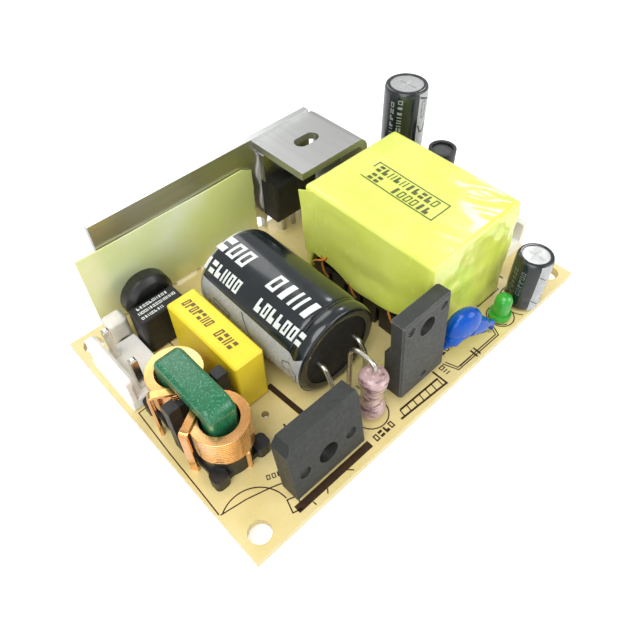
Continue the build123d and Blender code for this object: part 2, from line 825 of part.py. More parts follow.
# transformer: two core halves round a bobbin, wound and wrapped in tape
def transformer():
    place = Pos(*transformer_place)
    middle = (core_bottom + core_top) / 2
    window = core_top - core_plate
    floor = core_bottom + core_plate
    half = block((-core_width / 2, -core_length / 2, core_bottom), (core_width / 2, core_length / 2, middle))
    leg = (core_length * (0.5 - core_outer_leg_share), core_length * core_centre_leg_share / 2)
    for side in (-1, 1):
        near, far = sorted((side * leg[0], side * leg[1]))
        half -= block((-core_width, near, floor), (core_width, far, middle + overrun))
    upper = Pos(0, 0, 2 * middle) * Rot(180, 0, 0) * half
    reach = leg[0] - bobbin_gap
    tube = (core_width / 2 + bobbin_gap, leg[1] + bobbin_gap)
    outer = (tube[0] + bobbin_wall, tube[1] + bobbin_wall)
    low, high = floor + bobbin_gap, window - bobbin_gap
    bobbin = block((-outer[0], -outer[1], low), (*outer, high))
    for bottom in (low, high - bobbin_flange):
        flange = Box(bobbin_width, 2 * reach, bobbin_flange)
        bobbin += Pos(0, 0, bottom + bobbin_flange / 2) * flange
    for side in (-1, 1):
        near, far = sorted((side * (bobbin_width / 2 - bobbin_rail), side * bobbin_width / 2))
        end = reach + bobbin_rail_overhang
        bobbin += block((near, -end, 0), (far, end, low + bobbin_flange))
    bobbin -= block((-tube[0], -tube[1], 0), (*tube, core_top))
    bobbin -= block((-tube[0], -core_length, 0), (tube[0], core_length, floor))
    spots = []
    for edge in (-bobbin_width / 2, bobbin_width / 2):
        for k in range(bobbin_pin_count):
            row = (k - (bobbin_pin_count - 1) / 2) * bobbin_pin_pitch
            spots.append((edge * (1 - bobbin_rail / bobbin_width), row))
            notch = row + bobbin_pin_pitch / 2
            if k < bobbin_pin_count - 1:
                bobbin -= block((edge - bobbin_notch, notch - bobbin_notch / 2, -overrun),
                                (edge + bobbin_notch, notch + bobbin_notch / 2, low))
    x, y = transformer_place
    pins = [pin(x + across, y + along, bobbin_pin_stub, bobbin_pin_radius) for across, along in spots]
    size = (bobbin_width - 2 * winding_inset, 2 * (reach - winding_inset))
    coil = extrude(RectangleRounded(*size, winding_rounding), high - low - 2 * bobbin_flange)
    coil = Pos(0, 0, low + bobbin_flange) * coil
    coil -= block((-outer[0], -outer[1], 0), (*outer, core_top))
    return [place * half, place * upper], place * bobbin - pins, place * coil, pins, place * tape_wrap()


def tape_wrap():
    """A rounded hood of tape, its lower edge cut to a different height on each side."""
    width, length = bobbin_width + 2 * wrap_thickness, core_length + 2 * wrap_thickness
    hood = block((-width / 2, -length / 2, 0), (width / 2, length / 2, core_top + wrap_thickness))
    rounded = fillet(hood.edges().filter_by(Axis.Z), wrap_rounding)
    rounded = fillet(rounded.faces().sort_by(Axis.Z)[-1].edges(), wrap_edge)
    inner = extrude(RectangleRounded(bobbin_width, core_length, wrap_rounding - wrap_thickness), core_top)
    end = length / 2 + overrun
    rise = wrap_side_high - wrap_side_low
    edge = [(-end, -overrun), (-end, wrap_skirt), (wrap_rounding - length / 2, wrap_skirt)]
    edge += [(length * (along - 0.5), wrap_side_low + rise * up) for along, up in wrap_edge_shares]
    edge += [(end, wrap_side_high), (end, -overrun)]
    below = extrude(Plane.YZ * make_face(Polyline(*edge, close=True)), width, both=True)
    return rounded - inner - below


# output inductor: a drum core, wound, in a shrunk sleeve
def inductor():
    x, y = inductor_place
    top = inductor_top - inductor_lip
    core = rod(x, y, standing_gap, top, inductor_radius - inductor_waist)
    core += rod(x, y, standing_gap, standing_gap + inductor_flange, inductor_radius)
    core += rod(x, y, top - inductor_flange, top, inductor_radius)
    wound = rod(x, y, standing_gap + inductor_flange, top - inductor_flange, inductor_radius)
    wound -= rod(x, y, 0, inductor_top, inductor_radius - inductor_waist)
    skin = inductor_radius + inductor_sleeve
    outline = [(skin + inductor_swell * out, inductor_top * up) for out, up in inductor_sleeve_shares]
    outer = make_face(Polyline(*outline, (0, inductor_top), (0, outline[0][1]), close=True))
    sleeve = Pos(x, y) * revolve(Plane.XZ * outer)
    sleeve -= rod(x, y, -overrun, top, inductor_radius)
    sleeve -= rod(x, y, top - overrun, inductor_top + overrun, inductor_radius - inductor_sleeve)
    sides = (x - inductor_lead_pitch / 2, x + inductor_lead_pitch / 2)
    return core, wound, sleeve, [pin(side, y, standing_gap, fine_wire_radius) for side in sides]


# optocoupler and the parts under the board
def optocoupler():
    x, y = opto_place
    middle = opto_foot + opto_height / 2
    body = Pos(x, y, middle) * Box(opto_width, opto_length, opto_height)
    body = chamfer(body.faces().sort_by(Axis.Z)[-1].edges(), opto_bevel)
    leads = []
    for side in (-1, 1):
        for step in (-1, 1):
            column = x + step * opto_pitch / 2
            row = y + side * (opto_row / 2 + opto_lead_thickness / 2)
            near, far = sorted((y + side * opto_length / 2, row))
            lead = block((column - opto_lead_width / 2, near, middle - opto_lead_thickness / 2),
                         (column + opto_lead_width / 2, far, middle + opto_lead_thickness / 2))
            lead += blade(column, row, middle + opto_lead_thickness / 2, opto_lead_width, opto_lead_thickness)
            leads.append(lead)
    return body, leads


def control_chip():
    x, y = chip_place
    top = underside - chip_stand
    body = Pos(x, y, top - chip_thickness / 2) * Box(chip_width, chip_length, chip_thickness)
    body = chamfer(body.faces().sort_by(Axis.Z)[0].edges(), chip_bevel)
    leads = []
    inner = x + chip_width / 2
    knee = top - chip_thickness / 2
    foot = underside - chip_lead_thickness
    half = inner + chip_lead_reach / 2
    end = inner + chip_lead_reach
    side = [(inner, knee), (half, knee), (half, underside), (end, underside), (end, foot),
            (half + chip_lead_thickness, foot), (half + chip_lead_thickness, knee - chip_lead_thickness),
            (inner, knee - chip_lead_thickness)]
    for k in range(chip_lead_count):
        row = y + (k - (chip_lead_count - 1) / 2) * chip_lead_pitch - chip_lead_width / 2
        lead = Pos(0, row, 0) * extruded(side, chip_lead_width)
        leads += [lead, Pos(x, 0) * mirror(Pos(-x, 0) * lead, Plane.YZ)]
    return body, leads


os.makedirs("parts", exist_ok=True)

inlet_housing, inlet_pins = header(inlet_corner, 0, (-1, 1))
output_housing, output_pins = header(outlet_corner, 180, (-1, 0, 1))
fuse_case, fuse_leads = fuse()
thermistor_disc, thermistor_leads = thermistor()
film_case, film_leads = film_capacitor()
choke_core, choke_coils, choke_stand = choke()
bulk_can, bulk_sleeve, bulk_bung, bulk_leads = lying_capacitor()
bridge_body, bridge_leads = bridge_rectifier()
diode_body, diode_leads = full_pack_diode()
resistor_body, resistor_leads = resistor()
lamp_lens, lamp_leads = lamp()
dipped_body, dipped_wires = dipped_capacitor()
small_can, small_sleeve, small_bung, small_leads = standing_capacitor(
    small_place, small_radius, small_length, small_lead_pitch)
tall_can, tall_sleeve, tall_bung, tall_leads = standing_capacitor(
    tall_place, tall_radius, tall_length, tall_lead_pitch)
plate = heatsink_plate()
folded_bracket = bracket()
switch_body, switch_metal, switch_screw = mounted_package(
    switch_place(), switch_foot, plate_thickness + sheet_thickness)
rectifier_body, rectifier_metal, rectifier_screw = mounted_package(
    rectifier_place(), rectifier_foot, bracket_sheet)
core_halves, bobbin, winding, bobbin_pins, wrap = transformer()
drum_core, drum_winding, drum_sleeve, drum_leads = inductor()
opto_body, opto_leads = optocoupler()
chip_body, chip_leads = control_chip()

save("inlet_housing", [inlet_housing])
save("inlet_pins", inlet_pins)
save("output_housing", [output_housing])
save("output_pins", output_pins)
save("fuse_case", [fuse_case])
save("fuse_leads", fuse_leads)
save("thermistor_disc", [thermistor_disc])
save("thermistor_leads", thermistor_leads)
save("film_capacitor_case", [film_case])
save("film_capacitor_leads", film_leads)
save("choke_core", [choke_core])
save("choke_coils", choke_coils)
save("choke_base", [choke_stand])
save("bulk_capacitor_can", [bulk_can])
save("bulk_capacitor_sleeve", [bulk_sleeve])
save("bulk_capacitor_bung", [bulk_bung])
save("bulk_capacitor_leads", bulk_leads)
save("bridge_body", [bridge_body])
save("bridge_leads", bridge_leads)
save("diode_body", [diode_body])
save("diode_leads", diode_leads)
save("resistor_body", [resistor_body])
save("resistor_leads", resistor_leads)
save("lamp_lens", [lamp_lens])
save("lamp_leads", lamp_leads)
save("disc_capacitor_body", [dipped_body])
save("disc_capacitor_leads", dipped_wires)
save("small_capacitor_can", [small_can])
save("small_capacitor_sleeve", [small_sleeve])
save("small_capacitor_bung", [small_bung])
save("small_capacitor_leads", small_leads)
save("tall_capacitor_can", [tall_can])
save("tall_capacitor_sleeve", [tall_sleeve])
save("tall_capacitor_bung", [tall_bung])
save("tall_capacitor_leads", tall_leads)
save("heatsink_plate", [plate])
save("insulation_sheet", [insulation_sheet()])
save("slotted_bracket", [folded_bracket])
save("switch_body", [switch_body])
save("switch_tab_and_leads", switch_metal)
save("switch_screw", [switch_screw])
save("switch_pad", [paste()])
save("rectifier_body", [rectifier_body])
save("rectifier_tab_and_leads", rectifier_metal)
save("rectifier_screw", [rectifier_screw])
save("transformer_core", core_halves)
save("transformer_bobbin", [bobbin])
save("transformer_winding", [winding])
save("transformer_pins", bobbin_pins)
save("transformer_wrap", [wrap])
save("inductor_core", [drum_core])
save("inductor_winding", [drum_winding])
save("inductor_sleeve", [drum_sleeve])
save("inductor_leads", drum_leads)
save("optocoupler_body", [opto_body])
save("optocoupler_leads", opto_leads)
save("control_chip_body", [chip_body])
save("control_chip_leads", chip_leads)
save("adhesive_lump", [adhesive()])
save("circuit_board", [circuit_board()])
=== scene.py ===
import math
import random

import bmesh
import bpy
from mathutils import Matrix, Vector, noise


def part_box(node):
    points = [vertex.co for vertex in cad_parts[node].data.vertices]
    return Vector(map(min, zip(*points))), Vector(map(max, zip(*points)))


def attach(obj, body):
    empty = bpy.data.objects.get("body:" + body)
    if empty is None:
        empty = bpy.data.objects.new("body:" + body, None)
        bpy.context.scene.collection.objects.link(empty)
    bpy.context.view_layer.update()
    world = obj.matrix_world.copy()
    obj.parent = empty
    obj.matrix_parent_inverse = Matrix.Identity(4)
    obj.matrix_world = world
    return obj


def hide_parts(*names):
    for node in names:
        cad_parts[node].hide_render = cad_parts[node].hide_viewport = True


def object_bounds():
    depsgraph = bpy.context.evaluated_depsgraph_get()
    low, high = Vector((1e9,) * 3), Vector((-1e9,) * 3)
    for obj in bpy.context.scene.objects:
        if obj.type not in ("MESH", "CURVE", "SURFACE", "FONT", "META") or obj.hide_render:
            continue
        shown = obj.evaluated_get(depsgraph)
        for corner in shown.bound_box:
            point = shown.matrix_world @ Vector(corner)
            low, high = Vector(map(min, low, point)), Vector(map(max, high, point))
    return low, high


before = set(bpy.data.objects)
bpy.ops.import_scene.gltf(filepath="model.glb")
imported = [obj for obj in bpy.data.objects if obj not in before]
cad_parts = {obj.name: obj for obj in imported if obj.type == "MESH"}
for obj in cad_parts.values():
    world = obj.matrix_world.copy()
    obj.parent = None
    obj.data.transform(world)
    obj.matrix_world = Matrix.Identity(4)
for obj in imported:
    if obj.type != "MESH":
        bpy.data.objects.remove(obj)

print("frame loaded")
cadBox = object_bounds()
mm = 0.001
boardLow, boardHigh = (Vector(corner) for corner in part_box("circuit_board"))


def onBoard(x, y, z):
    # a place in mm from the board's front left corner, on its upper face
    return Vector((boardLow.x + x * mm, boardLow.y + y * mm, boardHigh.z + z * mm))


class Nodes:
    # adds nodes to one tree; an input is a plain value or another node's socket
    def __init__(self, tree):
        self.nodes, self.links = tree.nodes, tree.links

    def add(self, kind, inputs=None, output=0, **values):
        node = self.nodes.new(kind)
        for key, value in values.items():
            setattr(node, key, value)
        for key, value in (inputs or {}).items():
            if isinstance(value, bpy.types.NodeSocket):
                self.links.new(value, node.inputs[key])
            else:
                node.inputs[key].default_value = value
        return node.outputs[output]

    def calc(self, kind, *values):
        return self.add("ShaderNodeMath", dict(enumerate(values)), operation=kind)


# materials

def tint(code):
    # a hex colour as a linear one
    parts = [int(code[i:i + 2], 16) / 255 for i in (0, 2, 4)]
    return [((p + 0.055) / 1.055) ** 2.4 if p > 0.04045 else p / 12.92 for p in parts] + [1.0]


class Maker(Nodes):
    # one material with its shader and object coordinates at hand
    settings = {"metal": "Metallic", "coat": "Coat Weight", "coatRough": "Coat Roughness", "alpha": "Alpha",
                "soft": "Subsurface Weight", "softScale": "Subsurface Scale", "level": "Specular IOR Level"}

    def __init__(self, name):
        self.material = bpy.data.materials.new(name)
        self.material.use_nodes = True
        super().__init__(self.material.node_tree)
        self.shader = self.nodes["Principled BSDF"]
        self.coords = self.add("ShaderNodeTexCoord", output="Object")

    def noise(self, scale, detail=4, rough=0.55, stretch=None):
        place = self.coords
        if stretch:
            place = self.add("ShaderNodeMapping", {"Scale": stretch, "Vector": self.coords})
        inputs = {"Scale": scale, "Detail": detail, "Roughness": rough, "Vector": place}
        return self.add("ShaderNodeTexNoise", inputs, "Fac")

    def remap(self, source, span, reach):
        inputs = {"Value": source, "From Min": span[0], "From Max": span[1], "To Min": reach[0],
                  "To Max": reach[1]}
        return self.add("ShaderNodeMapRange", inputs, "Result")

    def cloud(self, scale, detail, span, reach=(0.0, 1.0), rough=0.55):
        # noise with its usual span stretched to the wanted reach
        return self.remap(self.noise(scale, detail, rough), span, reach)

    def blend(self, factor, first, second):
        # first and second are colours, as a code or as a socket
        first, second = (tint(c) if isinstance(c, str) else c for c in (first, second))
        return self.add("ShaderNodeMix", {0: factor, 6: first, 7: second}, 2, data_type="RGBA")

    def bevel(self, radius):
        return self.add("ShaderNodeBevel", {"Radius": radius * mm}, samples=4)

    def bump(self, height, strength, distance, normal=None):
        inputs = {"Strength": strength, "Distance": distance * mm, "Height": height}
        if normal:
            inputs["Normal"] = normal
        return self.add("ShaderNodeBump", inputs)

    def edges(self, radius):
        # one where the surface turns a sharp corner, nought on the flat
        plain = self.add("ShaderNodeNewGeometry", output="Normal")
        turned = self.add("ShaderNodeVectorMath", {0: self.bevel(radius), 1: plain}, "Value",
                          operation="DOT_PRODUCT")
        return self.remap(turned, (0.97, 0.8), (0.0, 1.0))

    def done(self, colour, rough, normal, **values):
        for name, source in (("Base Color", colour), ("Roughness", rough), ("Normal", normal)):
            self.links.new(source, self.shader.inputs[name])
        for key, value in values.items():
            self.shader.inputs[self.settings[key]].default_value = value
        return self.material


def paintedLook(name, look):
    # the common recipe: two tones in patches, a fine grain, rounded edges and a paler colour on the edges,
    # which is a little edge wear on most parts and a painted highlight on the diode
    m = Maker(name)
    patch = look.get("patch", 300)
    colour = m.blend(m.cloud(patch, 5, (0.35, 0.65), rough=0.6), *look["tones"])
    # paler edges: edge wear, and on the diode a painted highlight
    if look.get("edgeWearAndHighlight"):
        edges = m.edges(look.get("edgeWearAndHighlightWidth", 0.12))
        wornAndHighlitEdges = m.calc("MULTIPLY", edges, m.cloud(1500, 3, (0.4, 0.6), (0.2, 1.0)))
        colour = m.blend(wornAndHighlitEdges, colour, look["edgeWearAndHighlight"])
    rough = m.cloud(patch * 3, 4, (0.3, 0.7), look.get("rough", (0.4, 0.6)))
    grain = m.noise(look.get("grain", 6000), 3, 0.6)
    normal = m.bump(grain, look.get("bump", 0.15), 0.03, m.bevel(look.get("edge", 0.1)))
    return m.done(colour, rough, normal, **look.get("set", {}))


def metalLook(name, look):
    # drawn, plated or mill finished metal, with streaks along one direction
    m = Maker(name)
    streak = m.noise(look.get("streak", 900), 6, 0.65, look.get("along", (1, 1, 1)))
    cloud = m.noise(look.get("cloud", 90), 4, 0.6)
    both = m.calc("ADD", m.calc("MULTIPLY", streak, 0.6), m.calc("MULTIPLY", cloud, 0.4))
    colour = m.blend(m.remap(both, (0.35, 0.65), (0.0, 1.0)), *look["tones"])
    rough = m.remap(both, (0.3, 0.7), look.get("rough", (0.25, 0.4)))
    normal = m.bump(streak, look.get("bump", 0.1), 0.02, m.bevel(look.get("edge", 0.08)))
    return m.done(colour, rough, normal, metal=1.0)


def woundCopper():
    # lacquered wire: a warm metal with soft clouds
    m = Maker("woundCopper")
    colour = m.blend(m.cloud(160, 3, (0.35, 0.65)), "F0B878", "DFA05C")
    return m.done(colour, m.cloud(500, 3, (0.3, 0.7), (0.16, 0.28)), m.bump(m.noise(220, 2, 0.5), 0.03, 0.02),
                  metal=1.0, coat=0.5, coatRough=0.06)


def wrinkledMauve():
    # paint pulled into rows of dark wrinkles below a glossy bulb
    m = Maker("wrinkledMauve")
    rows = m.noise(520, 4, 0.6, (0.7, 0.7, 2.6))
    ground = m.blend(m.cloud(300, 3, (0.35, 0.65)), "C4A6A4", "B09090")
    colour = m.blend(m.remap(rows, (0.51, 0.6), (0.0, 0.85)), ground, "5C3E44")
    return m.done(colour, m.cloud(300, 3, (0.3, 0.7), (0.15, 0.35)), m.bump(rows, 0.5, 0.1),
                  coat=0.6, coatRough=0.08)


def speckledGreen():
    # green coating of the choke's core, with pale and dark specks
    m = Maker("speckledGreen")
    ground = m.blend(m.noise(250, 4), "1F7048", "195C3C")
    spotted = m.blend(m.cloud(5200, 2, (0.54, 0.66), (0.0, 0.8), 0.5), ground, "58A880")
    colour = m.blend(m.cloud(3300, 2, (0.62, 0.68), (0.0, 0.4), 0.5), spotted, "1E5A40")
    return m.done(colour, m.cloud(900, 3, (0.3, 0.7), (0.24, 0.4)), m.bump(m.noise(1400, 3), 0.2, 0.05),
                  coat=0.12, coatRough=0.15)


def tapeYellow():
    # glossy tape with long upright creases
    m = Maker("tapeYellow")
    colour = m.blend(m.cloud(90, 4, (0.35, 0.65)), "EEF47A", "E2EC60")
    crease = m.noise(140, 5, 0.6, (1, 1, 0.35))
    return m.done(colour, m.cloud(400, 3, (0.3, 0.7), (0.14, 0.3)), m.bump(crease, 0.25, 0.3),
                  coat=0.8, coatRough=0.05, soft=0.15, softScale=0.001)


def sheetFilm():
    m = Maker("sheetFilm")
    colour = m.blend(m.cloud(45, 4, (0.4, 0.6)), "F6F6D0", "E4E896")
    return m.done(colour, m.cloud(250, 4, (0.3, 0.7), (0.3, 0.5)), m.bump(m.noise(120, 4), 0.2, 0.3),
                  alpha=0.93, soft=0.2, softScale=0.002)


def lampGreen():
    m = Maker("lampGreen")
    colour = m.blend(m.noise(700, 3), "38AC38", "2C9A30")
    return m.done(colour, m.cloud(900, 3, (0.3, 0.7), (0.08, 0.18)),
                  m.bump(m.noise(1500, 2), 0.05, 0.02, m.bevel(0.15)),
                  soft=0.6, softScale=0.0015, coat=0.3, coatRough=0.05)


# lengths of edges and of the worn and highlighted edge bands in mm, scales of the patterns per metre
looks = {
    "laminate": {"tones": ("E9D79A", "DECB86"), "patch": 120, "rough": (0.22, 0.4), "grain": 2500,
                 "bump": 0.08, "set": {"coat": 0.3, "coatRough": 0.15}},
    "nylon": {"tones": ("FBFAF7", "F4F2EC"), "patch": 200, "rough": (0.35, 0.5), "bump": 0.1,
              "edge": 0.15, "set": {"soft": 0.15, "softScale": 0.0008}},
    "blackPlastic": {"tones": ("141414", "1C1C1B"), "rough": (0.35, 0.55), "edge": 0.12,
                     "edgeWearAndHighlight": "3A3A38"},
    "fuseBlack": {"tones": ("1B1B1C", "232324"), "rough": (0.4, 0.6), "grain": 9000, "bump": 0.2,
                  "edge": 0.2},
    "thermistorBlack": {"tones": ("101110", "1A1B1A"), "rough": (0.25, 0.45), "grain": 2500,
                        "bump": 0.3, "edge": 0.6},
    "filmYellow": {"tones": ("F8E030", "F0D424"), "patch": 150, "rough": (0.28, 0.42), "edge": 0.2,
                   "bump": 0.1, "set": {"soft": 0.1, "softScale": 0.0005}},
    "bridgeEpoxy": {"tones": ("292C29", "222522"), "patch": 500, "rough": (0.42, 0.6), "grain": 7000,
                    "bump": 0.35, "edge": 0.1, "edgeWearAndHighlight": "6A6A60"},
    # the diode's pale, wide edge band is a painted highlight along its edges
    "diodeEpoxy": {"tones": ("363836", "2D2F2D"), "patch": 500, "rough": (0.38, 0.55), "grain": 7000,
                   "bump": 0.3, "edge": 0.1, "edgeWearAndHighlight": "9A9C98", "edgeWearAndHighlightWidth": 0.2},
    "chipEpoxy": {"tones": ("191919", "222222"), "rough": (0.45, 0.6), "grain": 7000, "bump": 0.3},
    "blueDip": {"tones": ("0058C0", "004CB0"), "patch": 300, "rough": (0.1, 0.18), "grain": 900,
                "bump": 0.1, "edge": 0.2, "set": {"coat": 0.15, "coatRough": 0.03, "level": 0.3}},
    "rubber": {"tones": ("0E0E0E", "161616"), "rough": (0.6, 0.8), "edge": 0.1},
    "paste": {"tones": ("C9CAC8", "B9BAB8"), "patch": 500, "rough": (0.5, 0.7), "grain": 1500,
              "bump": 0.5},
    "silicone": {"tones": ("F0EDE4", "E4E0D4"), "patch": 350, "rough": (0.3, 0.5), "grain": 700,
                 "bump": 0.5, "edge": 0.5, "set": {"soft": 0.3, "softScale": 0.001}},
    "optoWhite": {"tones": ("E6E4DC", "DCD9CE"), "rough": (0.45, 0.6), "grain": 7000, "bump": 0.3},
    "ferrite": {"tones": ("5C5D5E", "4C4D4E"), "patch": 600, "rough": (0.55, 0.75), "grain": 3500,
                "bump": 0.4, "edge": 0.1},
    "shrunkBlack": {"tones": ("1B1B1D", "232326"), "patch": 250, "rough": (0.25, 0.4), "grain": 700,
                    "bump": 0.2, "edge": 0.3},
    "sleeve": {"tones": ("161C1F", "1B2226"), "patch": 250, "rough": (0.16, 0.28), "grain": 900,
               "bump": 0.1, "edge": 0.2, "set": {"coat": 0.5, "coatRough": 0.08}},
    "stripeGrey": {"tones": ("A6A9AA", "B0B3B3"), "patch": 500, "rough": (0.2, 0.34), "edge": 0.05,
                   "bump": 0.06, "set": {"coat": 0.4, "coatRough": 0.1}},
    "enamel": {"tones": ("D8883C", "BC7028"), "patch": 900, "rough": (0.15, 0.3), "edge": 0.05,
               "bump": 0.1, "set": {"coat": 0.6, "coatRough": 0.08}},
    "track": {"tones": ("B79A4C", "A98C42"), "patch": 400, "rough": (0.25, 0.4), "edge": 0.02,
              "bump": 0.08},
    "windingTape": {"tones": ("D8CC40", "C8B830"), "patch": 200, "rough": (0.3, 0.5), "grain": 900,
                    "bump": 0.3},
}
metals = {
    "tinned": {"tones": ("D6D2C8", "B4B0A8"), "cloud": 700, "rough": (0.22, 0.4), "edge": 0.12},
    "headerTin": {"tones": ("ECE8DE", "D6D0C4"), "cloud": 400, "rough": (0.15, 0.3), "edge": 0.1},
    "plateAluminium": {"tones": ("DADBD9", "C0C1C0"), "streak": 700, "along": (0.04, 1, 1), "cloud": 60,
                       "rough": (0.24, 0.42), "bump": 0.12, "edge": 0.1},
    "bracketAluminium": {"tones": ("C2C3C1", "B2B3B1"), "streak": 700, "along": (1, 0.05, 1),
                         "cloud": 70, "rough": (0.36, 0.52), "bump": 0.12, "edge": 0.15},
    "canAluminium": {"tones": ("DEDFDF", "CCCDCE"), "cloud": 250, "rough": (0.3, 0.45), "edge": 0.15},
    "packTab": {"tones": ("C8C6C2", "A8A6A2"), "cloud": 500, "rough": (0.25, 0.4), "edge": 0.1},
    "zinc": {"tones": ("C4C6C8", "9C9EA2"), "cloud": 600, "rough": (0.25, 0.45), "edge": 0.15},
    "solder": {"tones": ("D4D2CC", "B8B6B0"), "cloud": 500, "rough": (0.16, 0.32), "edge": 0.1},
}
# print: two tones, scale of the patches, lowest roughness and strength of the grain
inks = {
    "printWhite": ("E6EAE6", "D6DAD6", 800, 0.35, 0.05), "printGreen": ("98A69C", "889488", 800, 0.3, 0.05),
    "printFaint": ("666C70", "585E62", 800, 0.3, 0.05), "printDark": ("1C2022", "262A2C", 800, 0.3, 0.05),
    "labelInk": ("4C4E2C", "6A6C40", 1500, 0.3, 0.05), "filmInk": ("5E4610", "6E5618", 1200, 0.3, 0.05),
    "legendInk": ("2C1804", "38220A", 1200, 0.35, 0.1),
}
for name, (tone, shade, patch, rough, bump) in inks.items():
    looks[name] = {"tones": (tone, shade), "patch": patch, "rough": (rough, rough + 0.15), "edge": 0.02,
                   "bump": bump}
finish = {name: paintedLook(name, look) for name, look in looks.items()}
finish.update({name: metalLook(name, look) for name, look in metals.items()})
special = {"speckledGreen": speckledGreen, "copper": woundCopper, "mauveCoat": wrinkledMauve,
           "tapeYellow": tapeYellow, "sheetFilm": sheetFilm, "lampGreen": lampGreen}
finish.update({name: make() for name, make in special.items()})

coats = {
    "laminate": ["circuit_board"],
    "nylon": ["inlet_housing", "output_housing"],
    "blackPlastic": ["choke_base", "transformer_bobbin"],
    "fuseBlack": ["fuse_case"],
    "thermistorBlack": ["thermistor_disc"],
    "filmYellow": ["film_capacitor_case"],
    "bridgeEpoxy": ["bridge_body"],
    "diodeEpoxy": ["diode_body"],
    "chipEpoxy": ["switch_body", "rectifier_body", "control_chip_body"],
    "mauveCoat": ["resistor_body"],
    "blueDip": ["disc_capacitor_body"],
    "rubber": ["bulk_capacitor_bung", "small_capacitor_bung", "tall_capacitor_bung"],
    "paste": ["switch_pad"],
    "silicone": ["adhesive_lump"],
    "optoWhite": ["optocoupler_body"],
    "ferrite": ["transformer_core", "inductor_core"],
    "shrunkBlack": ["inductor_sleeve"],
    "sleeve": ["small_capacitor_sleeve", "tall_capacitor_sleeve", "bulk_capacitor_sleeve"],
    "windingTape": ["transformer_winding"],
    "tinned": ["fuse_leads", "thermistor_leads", "film_capacitor_leads", "bulk_capacitor_leads",
               "bridge_leads", "diode_leads", "resistor_leads", "lamp_leads", "disc_capacitor_leads",
               "small_capacitor_leads", "tall_capacitor_leads", "transformer_pins", "inductor_leads",
               "optocoupler_leads", "control_chip_leads"],
    "headerTin": ["inlet_pins", "output_pins"],
    "plateAluminium": ["heatsink_plate"],
    "bracketAluminium": ["slotted_bracket"],
    "canAluminium": ["bulk_capacitor_can", "small_capacitor_can", "tall_capacitor_can"],
    "packTab": ["switch_tab_and_leads", "rectifier_tab_and_leads"],
    "zinc": ["switch_screw", "rectifier_screw"],
    "copper": ["choke_coils", "inductor_winding"],
    "speckledGreen": ["choke_core"],
    "tapeYellow": ["transformer_wrap"],
    "sheetFilm": ["insulation_sheet"],
    "lampGreen": ["lamp_lens"],
}
for coat, nodes in coats.items():
    for node in nodes:
        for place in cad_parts[node].material_slots:
            place.material = finish[coat]
print("materials on the frame")


# shapes are pairs of points in metres and faces

def millimetres(points):
    return [onBoard(*point) for point in points]


def rawMesh(name, points, faces):
    mesh = bpy.data.meshes.new(name)
    mesh.from_pydata([tuple(p) for p in points], [], faces)
    return mesh


def placePiece(name, shape, look, replaced=(), angle=35, away=None):
    # closed shapes turn their faces outwards, print turns them away from a place behind it
    mesh = shape if isinstance(shape, bpy.types.Mesh) else rawMesh(name, *shape)
    net = bmesh.new()
    net.from_mesh(mesh)
    bmesh.ops.recalc_face_normals(net, faces=net.faces)
    if away is not None:
        net.normal_update()
        wrong = [face for face in net.faces if face.normal.dot(face.calc_center_median() - away) < 0]
        bmesh.ops.reverse_faces(net, faces=wrong)
    net.to_mesh(mesh)
    net.free()
    mesh.shade_smooth()
    mesh.set_sharp_from_angle(angle=math.radians(angle))
    mesh.materials.clear()
    mesh.materials.append(finish[look])
    piece = bpy.data.objects.new(name, mesh)
    bpy.context.scene.collection.objects.link(piece)
    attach(piece, "root")
    if replaced:
        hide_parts(*replaced)


def tube(rings, ends="flat"):
    # a skin over rings of equal count, with flat ends, open ends, or the last ring joined to the first
    count, size = len(rings), len(rings[0])
    points = [p for ring in rings for p in ring]
    faces = []
    for k in range(count if ends == "joined" else count - 1):
        near, far = k * size, (k + 1) % count * size
        faces += [(near + i, near + (i + 1) % size, far + (i + 1) % size, far + i) for i in range(size)]
    if ends == "flat":
        faces += [tuple(range(size))[::-1], tuple(range((count - 1) * size, count * size))]
    return points, faces


def roundedPath(points, radius, steps):
    # a run of straight legs with each corner turned on an arc
    path = [Vector(points[0])]
    for before, corner, after in zip(points, points[1:], points[2:]):
        before, corner, after = Vector(before), Vector(corner), Vector(after)
        into, out = before - corner, after - corner
        reach = min(radius, into.length * 0.49, out.length * 0.49)
        first, last = corner + into.normalized() * reach, corner + out.normalized() * reach
        for k in range(steps + 1):
            t = k / steps
            path.append(first.lerp(corner, t).lerp(corner.lerp(last, t), t))
    path.append(Vector(points[-1]))
    return path


def sweptSolid(path, section, aside=None):
    # sweeps a closed section along a path, each ring turned with it, or held to one side direction
    rings = []
    side = aside
    for k, here in enumerate(path):
        ahead = (path[min(k + 1, len(path) - 1)] - path[max(k - 1, 0)]).normalized()
        if side is None:
            side = ahead.orthogonal()
        across = (side - ahead * side.dot(ahead)).normalized()
        if aside is None:
            side = across
        up = ahead.cross(across)
        rings.append([here + across * u + up * v for u, v in section])
    return tube(rings)


def onCircle(radius, degrees, x=0.0, y=0.0):
    angle = math.radians(degrees)
    return x + radius * math.cos(angle), y + radius * math.sin(angle)


def arc(x, y, radius, start, end, steps=28):
    return [onCircle(radius, start + (end - start) * k / steps, x, y) for k in range(steps + 1)]


def circle(radius, count):
    return [onCircle(radius, 360 * k / count) for k in range(count)]


def joined(parts):
    points, faces = [], []
    for more, shapes in parts:
        faces += [tuple(i + len(points) for i in face) for face in shapes]
        points += more
    return points, faces


def lathed(profile, turns, place):
    # turns (radius, height) pairs in mm round the z axis, closed where the radius is nought
    points, faces, rings = [], [], []
    for radius, height in profile:
        spots = circle(radius, turns) if radius else [(0.0, 0.0)]
        rings.append(range(len(points), len(points) + len(spots)))
        points += [place @ (Vector((x, y, height)) * mm) for x, y in spots]
    for low, high in zip(rings, rings[1:]):
        for k in range(turns):
            j = (k + 1) % turns
            corners = (low[k % len(low)], low[j % len(low)], high[j % len(high)], high[k % len(high)])
            faces.append(tuple(dict.fromkeys(corners)))
    return points, faces


